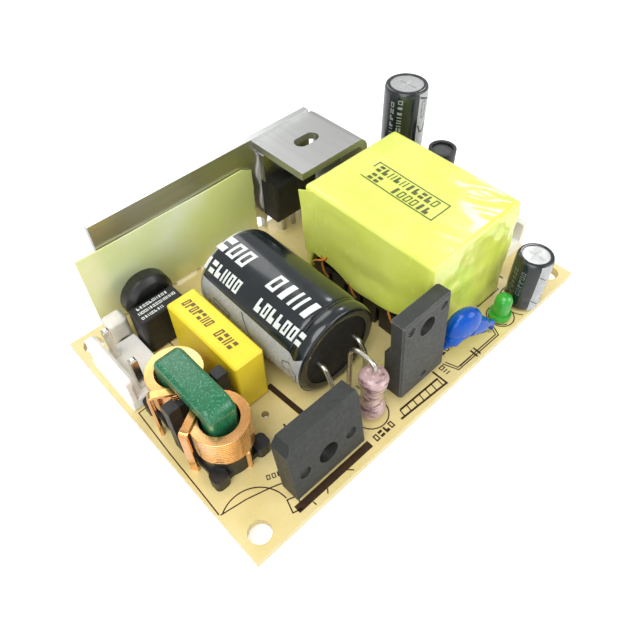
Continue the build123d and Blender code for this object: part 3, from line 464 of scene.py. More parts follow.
def eased(points, steps):
    # a smooth curve through the corners of a profile
    result = []
    for before, here, after in zip([points[0]] + points, points, points[1:] + [points[-1]]):
        before, here, after = Vector(before), Vector(here), Vector(after)
        first, last = before.lerp(here, 0.5), here.lerp(after, 0.5)
        for k in range(steps):
            t = k / steps
            result.append(tuple(first.lerp(here, t).lerp(here.lerp(last, t), t)))
    return [tuple(points[0])] + result[1:] + [tuple(points[-1])]


def ramp(value, low, high):
    t = min(max((value - low) / (high - low), 0.0), 1.0)
    return t * t * (3 - 2 * t)


def twoSided(outer, inner, faces):
    # closes a surface and its inner copy along their free edges
    size = len(outer)
    uses = {}
    for face in faces:
        for a, b in zip(face, face[1:] + face[:1]):
            uses.setdefault(frozenset((a, b)), []).append((a, b))
    rim = [(a, b, b + size, a + size) for (a, b), *more in uses.values() if not more]
    return outer + inner, faces + [tuple(i + size for i in face) for face in faces] + rim


def gridFaces(rows, columns):
    # quads over points laid out row by row
    return [(i * columns + j, i * columns + j + 1, (i + 1) * columns + j + 1, (i + 1) * columns + j)
            for i in range(rows - 1) for j in range(columns - 1)]


# print: rows of plain blocks that stand for the words

def glyphRow(seed, end, pitch, height, stroke, start=0, gap=0.25):
    # rectangles in a row along u, each cell one of a few plain shapes
    rng = random.Random(seed)
    rects = []
    u, w = start, pitch * (1 - gap)
    while u + w <= end + 1e-6:
        kind = rng.choice(("frame", "twin", "block", "steps", "frame", "posts"))
        posts = [(u, 0, u + stroke, height), (u + w - stroke, 0, u + w, height)]
        rects += {
            "frame": posts + [(u + stroke, 0, u + w - stroke, stroke),
                              (u + stroke, height - stroke, u + w - stroke, height)],
            "twin": [(u, 0, u + w, height * 0.38), (u, height * 0.62, u + w, height)],
            "block": [(u + w * 0.2, 0, u + w * 0.8, height)],
            "steps": [(u, 0, u + w * 0.45, height), (u + w * 0.45, 0, u + w, height * 0.45)],
            "posts": posts,
        }[kind]
        u += pitch
    return rects


def laidOn(surface, rects, step, shear=0.0):
    # cuts each rectangle in a small grid and lays it on a surface given as a function of u and v
    parts = []
    for u0, v0, u1, v1 in rects:
        across = max(1, math.ceil((u1 - u0) / step))
        along = max(1, math.ceil((v1 - v0) / step))
        points = []
        for i in range(across + 1):
            for j in range(along + 1):
                v = v0 + (v1 - v0) * j / along
                points.append(surface(u0 + (u1 - u0) * i / across + shear * v, v))
        parts.append((points, gridFaces(across + 1, along + 1)))
    return joined(parts)


def lines(strokes, height):
    # flat ribbons on the board, each a width and the corners that it passes
    points, faces = [], []
    for width, corners in strokes:
        flat = [Vector(c) for c in corners]
        closed = (flat[0] - flat[-1]).length < 1e-6 and len(flat) > 2
        for k, (a, b) in enumerate(zip(flat, flat[1:])):
            more = (b - a).normalized() * width / 2
            side = Vector((-more.y, more.x))
            start = a - more if k or closed else a
            end = b + more if k < len(flat) - 2 or closed else b
            # neighbours lie a little apart, so that they don't flicker where they cross
            lift = height + 0.002 * (k % 2)
            faces.append(tuple(range(len(points), len(points) + 4)))
            points += millimetres([(*p, lift) for p in (start - side, end - side, end + side, start + side)])
    return points, faces


below, above = onBoard(40, 25, -900), onBoard(40, 25, 900)


# capacitors in their sleeves: heights run from the seal to the far end of the can

sleeve = {"groove": 2.6, "wall": 0.2}


def loop(corners, width):
    return [(a, b, width) for a, b in zip(corners, corners[1:] + corners[:1])]


def bulkEdge(height):
    # the stripe's edge runs straight and waves once near the seal, where the sleeve shrank
    wave = math.exp(-((height - 1.9) / 0.8) ** 2) * -5 + math.exp(-((height + 0.4) / 0.8) ** 2) * 8
    return 26 + height * 0.11 + wave


upright = ((1, 0, 0), (0, 1, 0), (0, 0, 1))
# lifts: of the print, the stripe and its marks; stripe: lower and upper angle, first and last height;
# rows: seed, first and last height, pitch, height, stroke, base angle and slant
cans = {
    "bulk": {
        "origin": (28.2, 13.3, 8.0), "axes": ((-1, 0, 0), (0, 0, 1), (0, 1, 0)), "radius": 8.0,
        "length": 25.0, "end": 24.45, "lip": 7.0, "depth": 0.3, "turns": 168, "node": "bulk_capacitor_sleeve",
        "ink": "printWhite", "lifts": (0.03, 0.02, 0.04), "stripe": (-48, bulkEdge, 0.3, 24.2), "flip": 25,
        "rows": [(3, 0.2, 9.2, 2.45, 3.05, 0.55, 66, 0.2), (5, 12.4, 23.9, 2.45, 3.05, 0.55, 66, 0.2),
                 (7, 0.1, 9.3, 1.5, 2.25, 0.4, 38, 0.1), (11, 13.0, 24.1, 1.5, 2.25, 0.4, 38, 0.1)],
        "marks": loop([(20.6, 13.0), (16.5, 9.8), (16.6, 3.5), (20.5, 6.4)], 0.16)
        + [((13.9, 25.5), (11.2, 0.0), 0.2)]
        + loop([(3.9, 9.5), (2.8, 12.5), (0.9, 4.5), (0.9, -9.0), (2.6, -1.0), (3.9, 0.0)], 0.16)},
    "tall": {
        "origin": (70.0, 38.1, 0.3), "axes": upright, "radius": 4.0,
        "length": 25.0, "end": 25.0, "lip": 3.0, "depth": 0.25, "turns": 112, "node": "tall_capacitor_sleeve",
        "ink": "printGreen", "lifts": (0.02, 0.015, 0.03), "stripe": (-103, lambda height: -60, 0.2, 24.6),
        "rows": [(2, 13.0, 24.2, 1.1, 0.9, 0.2, -160, 0), (4, 13.0, 24.2, 1.3, 0.7, 0.2, -180, 0),
                 (6, 3.4, 11.5, 1.1, 0.9, 0.2, -160, 0), (8, 3.4, 11.5, 1.3, 0.7, 0.2, -180, 0)],
        "marks": [((24.0, -101), (22.8, -62), 0.3), ((12.0, -101), (10.8, -62), 0.3)]
        + loop([(23.0, -92), (23.0, -80), (19.8, -80), (19.8, -92)], 0.14)
        + [((18.4, -100), (16.8, -90), 0.3), ((16.8, -90), (16.8, -78), 0.3),
           ((16.8, -78), (18.2, -70), 0.3)]},
    "small": {
        "origin": (63.9, 2.8, 0.3), "axes": upright, "radius": 3.15,
        "length": 11.0, "end": 11.0, "lip": 2.3, "depth": 0.12, "turns": 96, "node": "small_capacitor_sleeve",
        "ink": "printFaint", "lifts": (0.02, 0.015, 0.03), "stripe": (-128, lambda height: -86, 0.15, 10.8),
        "rows": [(9, 3.6, 10.0, 0.95, 0.8, 0.16, 150, 0), (10, 3.6, 10.0, 0.95, 0.8, 0.16, 178, 0)],
        "marks": [((8.7, -127), (7.4, -97), 0.14), ((2.8, -127), (1.2, -92), 0.14)]},
}


def canPlace(can):
    return Matrix.Translation(onBoard(*can["origin"])) @ Matrix(can["axes"]).transposed().to_4x4()


def canLathe(can, profile):
    return lathed(profile, can["turns"], canPlace(can))


def outerRadius(profile, height):
    # the widest radius of a lathed profile at a height
    best = 0.0
    for (r0, h0), (r1, h1) in zip(profile, profile[1:]):
        if min(h0, h1) - 1e-6 <= height <= max(h0, h1) + 1e-6:
            t = 0 if abs(h1 - h0) < 1e-9 else (height - h0) / (h1 - h0)
            best = max(best, r0 + (r1 - r0) * t)
    return best


def sleeveProfile(can):
    # from the lip at the seal, over the rolled groove, to the lip round the can's end
    r, lip, groove, end = can["radius"], can["lip"], sleeve["groove"], can["end"]
    return eased([(lip * 0.9, 0.16), (r - 0.75, 0.04), (r - 0.2, 0.12), (r, 0.9), (r, groove - 0.9),
                  (r - can["depth"], groove), (r, groove + 0.9), (r, can["length"] * 0.5), (r, end - 1.0),
                  (r - 0.1, end - 0.4), (r - 0.3, end - 0.05), (lip, end - 0.03)], 4)


def sleeveShape(can):
    profile = sleeveProfile(can)
    lip, end, skin = can["lip"], can["end"], can["radius"] - sleeve["wall"]
    inside = [(lip, end - 0.15), (skin, end - 0.3), (skin, 0.6), (lip * 0.9, 0.35)]
    return canLathe(can, profile + inside + [profile[0]])


def sleeveSurface(can, lift):
    # a function from height along the can and angle in degrees to a place just over its sleeve
    profile = sleeveProfile(can)
    place = canPlace(can)

    def spot(along, degrees):
        reach = outerRadius(profile, min(max(along, 0.6), can["end"] - 0.3)) + lift
        return place @ (Vector((*onCircle(reach, degrees), along)) * mm)
    return spot


def sleevePrint(can, lift):
    # rows of blocks: height along the can in u, arc in millimetres up from the base angle in v
    surface = sleeveSurface(can, lift)
    turn = math.degrees(1 / can["radius"])
    parts = []
    for seed, start, end, pitch, height, stroke, base, shear in can["rows"]:
        def spot(u, v, base=base):
            return surface(can["flip"] - u if "flip" in can else u, base + v * turn)
        parts.append(laidOn(spot, glyphRow(seed, end, pitch, height, stroke, start), 0.35, shear))
    return joined(parts)


def sleeveStripe(can, lift, rows=71, columns=19):
    # the pale stripe of the negative side
    surface = sleeveSurface(can, lift)
    low, edge, start, end = can["stripe"]
    points = []
    for i in range(rows):
        height = start + (end - start) * i / (rows - 1)
        top = edge(height)
        points += [surface(height, low + (top - low) * j / (columns - 1)) for j in range(columns)]
    return points, gridFaces(rows, columns)


def stripeMarks(can, lift, steps=12):
    # thin dark outlines and strokes on a stripe, each from one place to another
    surface = sleeveSurface(can, lift)
    scale = math.radians(1) * can["radius"]
    parts = []
    for (h0, a0), (h1, a1), width in can["marks"]:
        ahead = Vector((h1 - h0, (a1 - a0) * scale)).normalized()
        side = Vector((-ahead.y, ahead.x)) * width / 2
        points = []
        for k in range(steps + 1):
            t = k / steps
            h, a = h0 + (h1 - h0) * t, a0 + (a1 - a0) * t
            points += [surface(h + way * side.x, a + way * side.y / scale) for way in (1, -1)]
        parts.append((points, gridFaces(steps + 1, 2)))
    return joined(parts)


for name, can in cans.items():
    node = can["node"]
    inside = onBoard(*can["origin"]) + Vector(can["axes"][2]) * can["length"] / 2 * mm
    placePiece(f"{name}Sleeve", sleeveShape(can), "sleeve", [node])
    layers = (("Print", sleevePrint, can["ink"]), ("Stripe", sleeveStripe, "stripeGrey"),
              ("Marks", stripeMarks, "printDark"))
    for (label, make, look), lift in zip(layers, can["lifts"]):
        placePiece(name + label, make(can, lift), look, away=inside)

# the bulk capacitor's can shows past the sleeve at its far end
canEnd = {"start": 24.0, "end": 24.97, "radius": 7.8, "round": 0.8}


def canEndProfile():
    start, end, radius, edge = canEnd.values()
    corner = [onCircle(edge, a, radius - edge, end - edge) for a in range(0, 91, 10)]
    return [(0, start), (radius, start)] + corner + [(0, end)]


placePiece("bulkCanEnd", canLathe(cans["bulk"], canEndProfile()), "canAluminium")
print("capacitor sleeves")


# transformer wrap: layers of tape drawn tight over the core, its sides hollowed and its foot flared

wrap = {"low": (40.9, 7.1), "high": (62.7, 34.1), "top": 21.05, "foot": 0.5, "cells": 84, "radius": 0.65,
        "frontPull": 0.5, "hollow": 0.2, "flare": 0.8, "wrinkle": 0.17, "dish": 0.14, "loose": 0.16,
        "thick": 0.2, "middle": (51.8, 20.6), "side": 6.2, "swing": 1.7, "ragged": 0.25,
        "turn": (0.3, 1.8)}


def footHeight(x, y):
    # the long sides stop above the rails, the ends run down to the board
    low, high = wrap["low"][1], wrap["high"][1]
    share = (y - low) / (high - low)
    swing = 0.5 + 0.5 * math.cos(5.2 * share + 0.4)
    side = wrap["side"] + wrap["swing"] * swing + wrap["ragged"] * math.sin(19 * share)
    inner = ramp(min(y - low, high - y), *wrap["turn"])
    edge = min(x - wrap["low"][0], wrap["high"][0] - x)
    return wrap["foot"] + (side - wrap["foot"]) * inner * (1 if edge < 0.01 else 0)


def wrapSurface():
    x0, y0 = wrap["low"]
    x1, y1 = wrap["high"]
    top, count = wrap["top"], wrap["cells"]
    points, faces, known = [], [], {}

    def corner(x, y, share):
        low = footHeight(x, y)
        key = (round(x, 4), round(y, 4), round(share, 4))
        if key not in known:
            known[key] = len(points)
            points.append(Vector((x, y, low + (top - low) * share)))
        return known[key]

    ticks = [k / count for k in range(count + 1)]
    sheets = [[[corner(x0 + (x1 - x0) * a, y0 + (y1 - y0) * b, 1.0) for b in ticks] for a in ticks]]
    for x in (x0, x1):
        sheets.append([[corner(x, y0 + (y1 - y0) * a, b) for b in ticks] for a in ticks])
    for y in (y0, y1):
        sheets.append([[corner(x0 + (x1 - x0) * a, y, b) for b in ticks] for a in ticks])
    for grid in sheets:
        for a in range(count):
            for b in range(count):
                faces.append((grid[a][b], grid[a + 1][b], grid[a + 1][b + 1], grid[a][b + 1]))
    return points, faces


def shapedWrap(points):
    x0, y0 = wrap["low"]
    x1, y1 = wrap["high"]
    radius, top = wrap["radius"], wrap["top"]
    result = []
    for p in points:
        inner = Vector((min(max(p.x, x0 + radius), x1 - radius), min(max(p.y, y0 + radius), y1 - radius),
                        min(p.z, top - radius)))
        out = p - inner
        out = out.normalized() if out.length > 1e-6 else Vector((0, 0, 1))
        spot = inner + out * radius
        across, along = (p.x - x0) / (x1 - x0), (p.y - y0) / (y1 - y0)
        low = footHeight(p.x, p.y)
        share = (p.z - low) / (top - low)
        shift = Vector((0, 0, 0))
        # the upper edge of the far long side is pulled in towards the front
        upper = ramp(across, 0.8, 1.0) * ramp(share, 0.85, 1.0)
        shift.x -= wrap["frontPull"] * (1 - ramp(along, 0.0, 0.9)) * upper
        # sides hollow between the tight edges, and the foot flares out again
        if p.z < top - 0.01:
            belly = math.sin(math.pi * min(max(share, 0), 1))
            spread = math.sin(math.pi * min(max(along if abs(out.x) > abs(out.y) else across, 0), 1))
            lobes = 0.6 + 0.4 * math.sin(7 * along + 2)
            shift -= Vector((out.x, out.y, 0)) * wrap["hollow"] * belly * spread * lobes
            lift = ramp(0.3 - share, 0.0, 0.3) * spread * (0.5 + 0.5 * math.sin(9 * along + 4))
            shift += Vector((out.x, out.y, 0)) * wrap["flare"] * lift * (1 if abs(out.x) > 0.9 else 0.2)
        else:
            shift.z -= wrap["dish"] * math.sin(math.pi * across) * math.sin(math.pi * along)
        # long soft wrinkles, strongest near the front right corner
        near = 0.35 + 1.1 * ramp(across, 0.5, 1.0) * (1 - ramp(along, 0.1, 0.5))
        ripple = noise.noise(Vector((p.x * 0.5 + p.y * 0.22, p.y * 0.16 - p.x * 0.1, p.z * 0.2)))
        fold = noise.noise(Vector((p.x * 0.13, p.y * 0.12, p.z * 0.33 + 4)))
        loose = wrap["loose"] * (0.6 + fold) * (1 - share * 0.6) if p.z < top - 0.4 else 0.0
        shift += out * (wrap["wrinkle"] * near * ripple + loose * ramp(top - 0.4 - p.z, 0.0, 2.0))
        result.append(spot + shift)
    return result


wrapPoints, wrapFaces = wrapSurface()
wrapOuter = shapedWrap(wrapPoints)
wrapInner = [Vector((p.x + wrap["thick"] * (1 if p.x < wrap["middle"][0] else -1),
                     p.y + wrap["thick"] * (1 if p.y < wrap["middle"][1] else -1), p.z - wrap["thick"]))
             for p in wrapOuter]
placePiece("wrapTape", twoSided(millimetres(wrapOuter), millimetres(wrapInner), wrapFaces), "tapeYellow",
           ["transformer_wrap"], 80)

flap = {"top": 20.8, "bottom": 7.2, "start": 31.7, "width": 2.6, "stand": 0.9, "rows": 31, "columns": 11,
        "thick": 0.16, "side": 40.72, "curl": 1.6, "ripple": 0.06, "drop": 0.3}


def flapSurface(shift):
    # the folded tape end that stands out at the back corner
    points = []
    for i in range(flap["rows"]):
        t = i / (flap["rows"] - 1)
        z = flap["bottom"] + (flap["top"] - flap["bottom"]) * t
        for j in range(flap["columns"]):
            s = j / (flap["columns"] - 1)
            ripple = flap["ripple"] * math.sin(11 * t + 3 * s)
            away = flap["stand"] * s ** flap["curl"] * (0.4 + 0.6 * t) + ripple
            y = flap["start"] + flap["width"] * s * (0.8 + 0.2 * t)
            points.append(onBoard(flap["side"] - away + shift, y, z - flap["drop"] * s))
    return points


flapShape = twoSided(flapSurface(0.0), flapSurface(flap["thick"]), gridFaces(flap["rows"], flap["columns"]))
placePiece("wrapFlap", flapShape, "tapeYellow", angle=80)
print("transformer wrap")


# label printed on the wrap: an outline, open at one corner, and two rows of blocks

label = {"corner": (49.15, 29.5), "lean": 0.6 / 15.4, "lift": 0.08, "pitch": 1.32, "height": 1.62,
         "stroke": 0.2, "gap": 0.32, "slant": 0.1,
         "frame": [(0, 0, 15.4, 0.19), (0, 4.69, 15.4, 4.88), (15.21, 0.19, 15.4, 4.69),
                   (0, 3.1, 0.19, 4.69)],
         "rows": [(21, 0.9, 14.2, 2.7), (22, 1.1, 3.6, 0.45), (23, 6.3, 14.2, 0.45)]}


def labelSpot(u, v):
    # u runs towards the front along the label, v from its left side to its right
    x, y = label["corner"]
    flat = Vector((x - label["lean"] * u + v, y - u, wrap["top"]))
    return onBoard(*(shapedWrap([flat])[0] + Vector((0, 0, label["lift"]))))


def labelRows():
    parts = []
    for seed, start, end, base in label["rows"]:
        rects = glyphRow(seed, end, label["pitch"], label["height"], label["stroke"], start, label["gap"])
        parts.append(laidOn(lambda u, v, base=base: labelSpot(u, v + base), rects, 0.6, label["slant"]))
    return joined(parts)


placePiece("labelOutline", laidOn(labelSpot, label["frame"], 0.5), "labelInk", away=below)
placePiece("labelRows", labelRows(), "labelInk", away=below)
print("label")

# ends of the winding wires that run down to their pins
ends = {"radius": 0.2, "bend": 1.2, "runs": [
    [(41.9, 30.5, 9.0), (40.6, 30.0, 7.4), (40.2, 29.0, 5.2), (41.0, 28.6, 3.4)],
    [(41.9, 28.6, 9.2), (40.4, 28.8, 7.8), (40.0, 31.4, 6.4), (40.9, 32.2, 4.2)],
    [(41.9, 24.0, 8.6), (40.7, 23.6, 7.0), (40.3, 22.0, 5.0), (41.0, 21.8, 3.4)],
    [(41.9, 15.0, 8.4), (40.8, 14.6, 6.8), (40.4, 13.2, 4.8), (41.0, 13.0, 3.4)]]}


def roundWires(values, steps, sides):
    # round wires with smooth bends
    return joined([sweptSolid(roundedPath(millimetres(run), values["bend"] * mm, steps),
                              circle(values["radius"] * mm, sides)) for run in values["runs"]])


placePiece("windingEnds", roundWires(ends, 8, 12), "enamel", angle=60)


# print on the film capacitor and on the fuse

def flatPrint(values):
    # rows on a level face: seed, place, direction of u, length, pitch, height, stroke and gap between cells
    parts = []
    way = values.get("mirrored", 1)
    for seed, place, (ux, uy), length, pitch, height, stroke, gap in values["rows"]:
        def spot(u, v, place=place, ux=ux, uy=uy):
            x, y, z = place
            return onBoard(x + ux * u - way * uy * v, y + uy * u + way * ux * v, z)
        rects = glyphRow(seed, length, pitch, height, stroke, gap=gap)
        parts.append(laidOn(spot, rects, 1.0, values.get("shear", 0.0)))
    return joined(parts)


film = {"mirrored": -1, "shear": -0.12, "rows": [
    (31, (16.85, 35.1, 11.32), (0, -1), 7.4, 0.98, 1.65, 0.26, 0.28),
    (33, (16.85, 26.7, 11.32), (0, -1), 4.4, 1.08, 1.75, 0.28, 0.28)]}
fuse = {"rows": [
    (41, (10.3, 41.55, 8.215), (1, 0), 6.2, 0.6, 0.62, 0.14, 0.2),
    (42, (10.0, 40.45, 8.215), (1, 0), 7.1, 0.55, 0.62, 0.14, 0.15),
    (43, (9.9, 39.35, 8.215), (1, 0), 4.6, 0.6, 0.58, 0.14, 0.2)]}
placePiece("filmPrint", flatPrint(film), "filmInk", away=below)
placePiece("fusePrint", flatPrint(fuse), "printWhite", away=below)
print("print on the cases")


# what follows a rule is grown by Geometry Nodes

class Tree(Nodes):
    # a tree with named sizes
    kinds = {float: "NodeSocketFloat", int: "NodeSocketInt"}

    def __init__(self, name, sizes, look):
        self.group = bpy.data.node_groups.new(name, "GeometryNodeTree")
        self.group.is_modifier = True
        super().__init__(self.group)
        face = self.group.interface
        face.new_socket("Geometry", in_out="INPUT", socket_type="NodeSocketGeometry")
        face.new_socket("Geometry", in_out="OUTPUT", socket_type="NodeSocketGeometry")
        for key, value in sizes.items():
            face.new_socket(key, in_out="INPUT", socket_type=self.kinds[type(value)]).default_value = value
        self.sizes, self.material = sizes, finish[look]
        self.size = self.nodes.new("NodeGroupInput").outputs

    def grow(self, shape, base, name):
        # ends the tree, runs it on a base mesh and returns a plain mesh
        real = self.add("GeometryNodeRealizeInstances", {"Geometry": shape})
        done = self.add("GeometryNodeSetMaterial", {"Geometry": real, "Material": self.material})
        self.links.new(done, self.nodes.new("NodeGroupOutput").inputs[0])
        holder = bpy.data.objects.new(name, base)
        bpy.context.scene.collection.objects.link(holder)
        change = holder.modifiers.new("grow", "NODES")
        change.node_group = self.group
        for socket in self.group.interface.items_tree:
            if socket.in_out == "INPUT" and socket.name in self.sizes:
                change[socket.identifier] = self.sizes[socket.name]
        view = bpy.context.evaluated_depsgraph_get()
        mesh = bpy.data.meshes.new_from_object(holder.evaluated_get(view))
        bpy.data.objects.remove(holder)
        mesh.name = name
        return mesh


# choke: two coils wound on edge from flat wire, each with its tails

coil = {"turns": 11.5, "pitch": 0.5, "radius": 3.675, "width": 1.45, "thickness": 0.485, "rounding": 0.055,
        "perTurn": 80, "wander": 0.01, "drift": 260.0, "seed": 4, "foot": 4.4, "angle": 120.0,
        "longTail": 4.0, "shortTail": 1.2, "bend": 0.6, "end": -3.6, "overlap": 0.4,
        "tailShare": 0.46, "tailEdge": 0.3,
        "places": {"front": (7.4, 15.55, 1), "back": (7.4, 26.45, -1)}}


def coilMesh():
    lengths = ("pitch", "radius", "width", "thickness", "rounding", "wander")
    sizes = {name.capitalize(): coil[name] * mm for name in lengths}
    sizes.update({"Turns": coil["turns"], "Per Turn": coil["perTurn"], "Seed": float(coil["seed"])})
    t = Tree("flatWireCoil", sizes, "copper")
    size = t.size
    rise = t.calc("MULTIPLY", size["Turns"], size["Pitch"])
    path = t.add("GeometryNodeCurveSpiral", {
        "Resolution": size["Per Turn"], "Rotations": size["Turns"], "Start Radius": size["Radius"],
        "End Radius": size["Radius"], "Height": rise, "Reverse": True})
    drift = t.add("ShaderNodeTexNoise", {"W": size["Seed"], "Scale": coil["drift"], "Detail": 1.0},
                  noise_dimensions="4D")
    lift = t.calc("MULTIPLY", t.calc("SUBTRACT", drift, 0.5), size["Wander"])
    offset = t.add("ShaderNodeCombineXYZ", {"Z": lift})
    path = t.add("GeometryNodeSetPosition", {"Geometry": path, "Offset": offset})
    path = t.add("GeometryNodeSetCurveNormal", {"Curve": path}, mode="Z_UP")
    section = t.add("GeometryNodeCurvePrimitiveQuadrilateral",
                    {"Width": size["Width"], "Height": size["Thickness"]}, mode="RECTANGLE")
    section = t.add("GeometryNodeFilletCurve", {"Curve": section, "Radius": size["Rounding"], "Count": 2},
                    mode="POLY")
    shape = t.add("GeometryNodeCurveToMesh", {"Curve": path, "Profile Curve": section, "Fill Caps": True})
    return t.grow(shape, bpy.data.meshes.new("coilBase"), "coilWound")


def tail(angle, height, side, reach):
    # one strip from the end of the winding, straight on and then down through the board
    turn = Matrix.Rotation(math.radians(angle), 4, "Z")
    run = [(coil["radius"], -coil["overlap"] * side, height), (coil["radius"], reach * side, height),
           (coil["radius"], reach * side, coil["end"] - coil["foot"])]
    path = roundedPath([turn @ Vector(p) * mm for p in run], coil["bend"] * mm, 8)
    wide, thick = coil["width"] * mm * coil["tailShare"], coil["thickness"] * mm / 2
    edge = coil["tailEdge"] * thick
    section = [(wide, -thick + edge), (wide, thick - edge), (wide - edge, thick), (-wide + edge, thick)]
    section += [(-u, -v) for u, v in section]
    return sweptSolid(path, section, turn @ Vector((1, 0, 0)))


def woundCoil():
    # the winding turned so that its upper end lies at the tail's angle, with both tails
    mesh = coilMesh()
    start = coil["angle"] - coil["turns"] * 360
    turn = Matrix.Rotation(math.radians(start), 4, "Z")
    winding = ([turn @ v.co for v in mesh.vertices], [tuple(f.vertices) for f in mesh.polygons])
    return joined([winding, tail(start, 0, -1, coil["shortTail"]),
                   tail(coil["angle"], coil["turns"] * coil["pitch"], 1, coil["longTail"])])


coilPoints, coilFaces = woundCoil()
for name, (x, y, way) in coil["places"].items():
    spots = [onBoard(x, y, coil["foot"]) + Vector((p.x, p.y * way, p.z)) for p in coilPoints]
    hidden = ["choke_coils"] if name == "front" else []
    placePiece(f"{name}Coil", (spots, coilFaces), "copper", hidden, 20)
print("choke coils")


# choke core: a closed loop with soft edges

core = {"middle": 7.4, "ends": (14.0, 28.0), "heights": (1.2, 13.7), "bar": 3.1, "width": 4.7, "corner": 2.0,
        "innerCorner": 0.5, "edge": 0.75}


def loopSection(x, inset, corner):
    # a rectangle in y and z with round corners, inset from the core's outline
    (y0, y1), (z0, z1) = core["ends"], core["heights"]
    points = []
    for start, wayY, wayZ in ((0, 1, 1), (90, -1, 1), (180, -1, -1), (270, 1, -1)):
        y = (y1 if wayY > 0 else y0) - wayY * (inset + corner)
        z = (z1 if wayZ > 0 else z0) - wayZ * (inset + corner)
        points += [onBoard(x, *spot) for spot in arc(y, z, corner, start, start + 90, 8)]
    return points


def softCore():
    # rings from one side over the outside to the other, and back through the window
    x, edge = core["middle"], core["edge"]
    turned = arc(core["width"] / 2 - edge, edge, edge, -90, 0, 6)
    side = [(-across, inset) for across, inset in turned[::-1]] + turned
    rings = [loopSection(x + across, inset, core["corner"] - inset * 0.6) for across, inset in side]
    rings += [loopSection(x + across, core["bar"] - inset, core["innerCorner"])
              for across, inset in side[::-1]]
    return tube(rings, "joined")


placePiece("softCore", softCore(), "speckledGreen", ["choke_core"], 60)
print("choke core")


# the board's printed legend: strokes with their width and corners, and rows of blocks

legend = {"lift": 0.012, "thin": 0.2, "medium": 0.34}
thin, medium = legend["thin"], legend["medium"]
strokes = [
    (1.25, [(8.8, 1.75), (23.7, 1.75)]), (thin, [(18.2, 1.15), (18.9, 0.44)]),
    (thin, [(14.1, 1.1), (13.6, 0.48)]), (thin, [(11.25, 1.07), (11.3, 0.43)]),
    (medium, [(16.5, 13.3), (15.7, 10.95)]), (medium, [(14.3, 11.9), (17.5, 10.7)]),
    (1.0, [(19.4, 20.4), (19.85, 12.2)]), (thin, [(19.95, 12.4), (22.9, 12.3)]),
    (medium, [(30.2, 1.3), (40.4, 0.67)]), (medium, [(31.3, 2.5), (40.1, 2.2)]),
    (medium, [(40.5, 0.46), (40.5, 3.65)]),
    (thin, [(42.9, 3.5), (43.9, 0.9), (54.5, 0.7), (55.6, 2.75)]),
    (thin, [(43.5, 3.4), (44.2, 1.3), (54.2, 1.1), (55.1, 2.8)]), (medium, [(48.3, 0.4), (48.4, 2.0)]),
    (medium, [(49.1, 0.4), (49.2, 2.0)]), (thin, [(44.6, 1.2), (48.3, 1.2)]),
    (thin, [(49.1, 1.2), (53.4, 1.1)]), (thin, arc(58.2, 3.0, 2.4, 0, 360)),
    (thin, arc(58.2, 3.0, 2.05, 120, 250)), (thin, arc(27.6, 5.4, 2.9, 0, 360)),
    (thin, [(29.6, 5.4), (29.6, 10.4)]),
    (thin, [(0.38, 8.78), (0.54, 13.49), (0.74, 21.35), (1.21, 30.7), (5.2, 30.7)]),
    (thin, [(12.8, 30.9), (12.8, 44.4)]), (thin, arc(3.6, 4.1, 5.25, 0, 122)),
    (thin, [(0.5, 8.6), (4.59, 7.9), (8.15, 6.85), (10.94, 5.8)]),
    (thin, [(8.74, 3.82), (10.17, 3.28), (9.6, 1.4), (8.1, 1.84), (8.74, 3.82)]),
    (thin, arc(63.9, 2.8, 3.6, -42, 222)),
    (medium, [(17.6, 8.4), (18.9, 8.4), (18.9, 7.0), (17.6, 7.0), (17.6, 8.4)]),
    (thin, [(19.3, 9.6), (26.4, 9.6)]), (medium, [(22.0, 10.9), (23.4, 10.9)]),
    (medium, [(22.7, 10.3), (22.7, 11.5)]), (thin, arc(70.0, 38.1, 4.6, 0, 360)),
    (thin, arc(71.4, 29.3, 4.6, 0, 360)), (thin, [(57.0, 7.0), (63.2, 7.0), (63.2, 34.0)]),
    (medium, [(66.0, 8.0), (66.0, 14.0)]),
]
strokes += [(thin, [(31.0 + 1.45 * k, 1.25 - 0.055 * k), (31.25 + 1.45 * k, 2.5 - 0.05 * k)])
            for k in range(7)]
legendWords = {"rows": [
    (51, (44.3, 4.5, 0.014), (1, 0), 5.0, 1.1, 1.1, 0.2, 0.28),
    (52, (41.7, 4.4, 0.016), (0, -1), 3.2, 1.0, 1.0, 0.18, 0.28),
    (56, (8.6, 8.0, 0.016), (0.92, -0.38), 2.5, 0.85, 0.8, 0.16, 0.28),
    (53, (24.7, 1.2, 0.014), (1, 0), 4.4, 1.1, 1.1, 0.22, 0.28),
    (54, (13.7, 5.4, 0.014), (1, 0), 3.2, 1.1, 1.2, 0.22, 0.28),
    (55, (68.0, 20.5, 0.014), (1, 0), 4.2, 1.1, 1.1, 0.2, 0.28)]}
placePiece("legendLines", lines(strokes, legend["lift"]), "legendInk", away=below)
placePiece("legendRows", flatPrint(legendWords), "legendInk", away=below)
print("legend")


# insulating sheet: thin, slightly bowed, its far end torn

sheet = {"left": 6.2, "right": 41.5, "low": 0.7, "high": 16.7, "back": 49.58, "thick": 0.22, "bow": 0.35,
         "tear": 0.5, "droop": 1.1, "wave": 0.25, "across": 90, "along": 34}


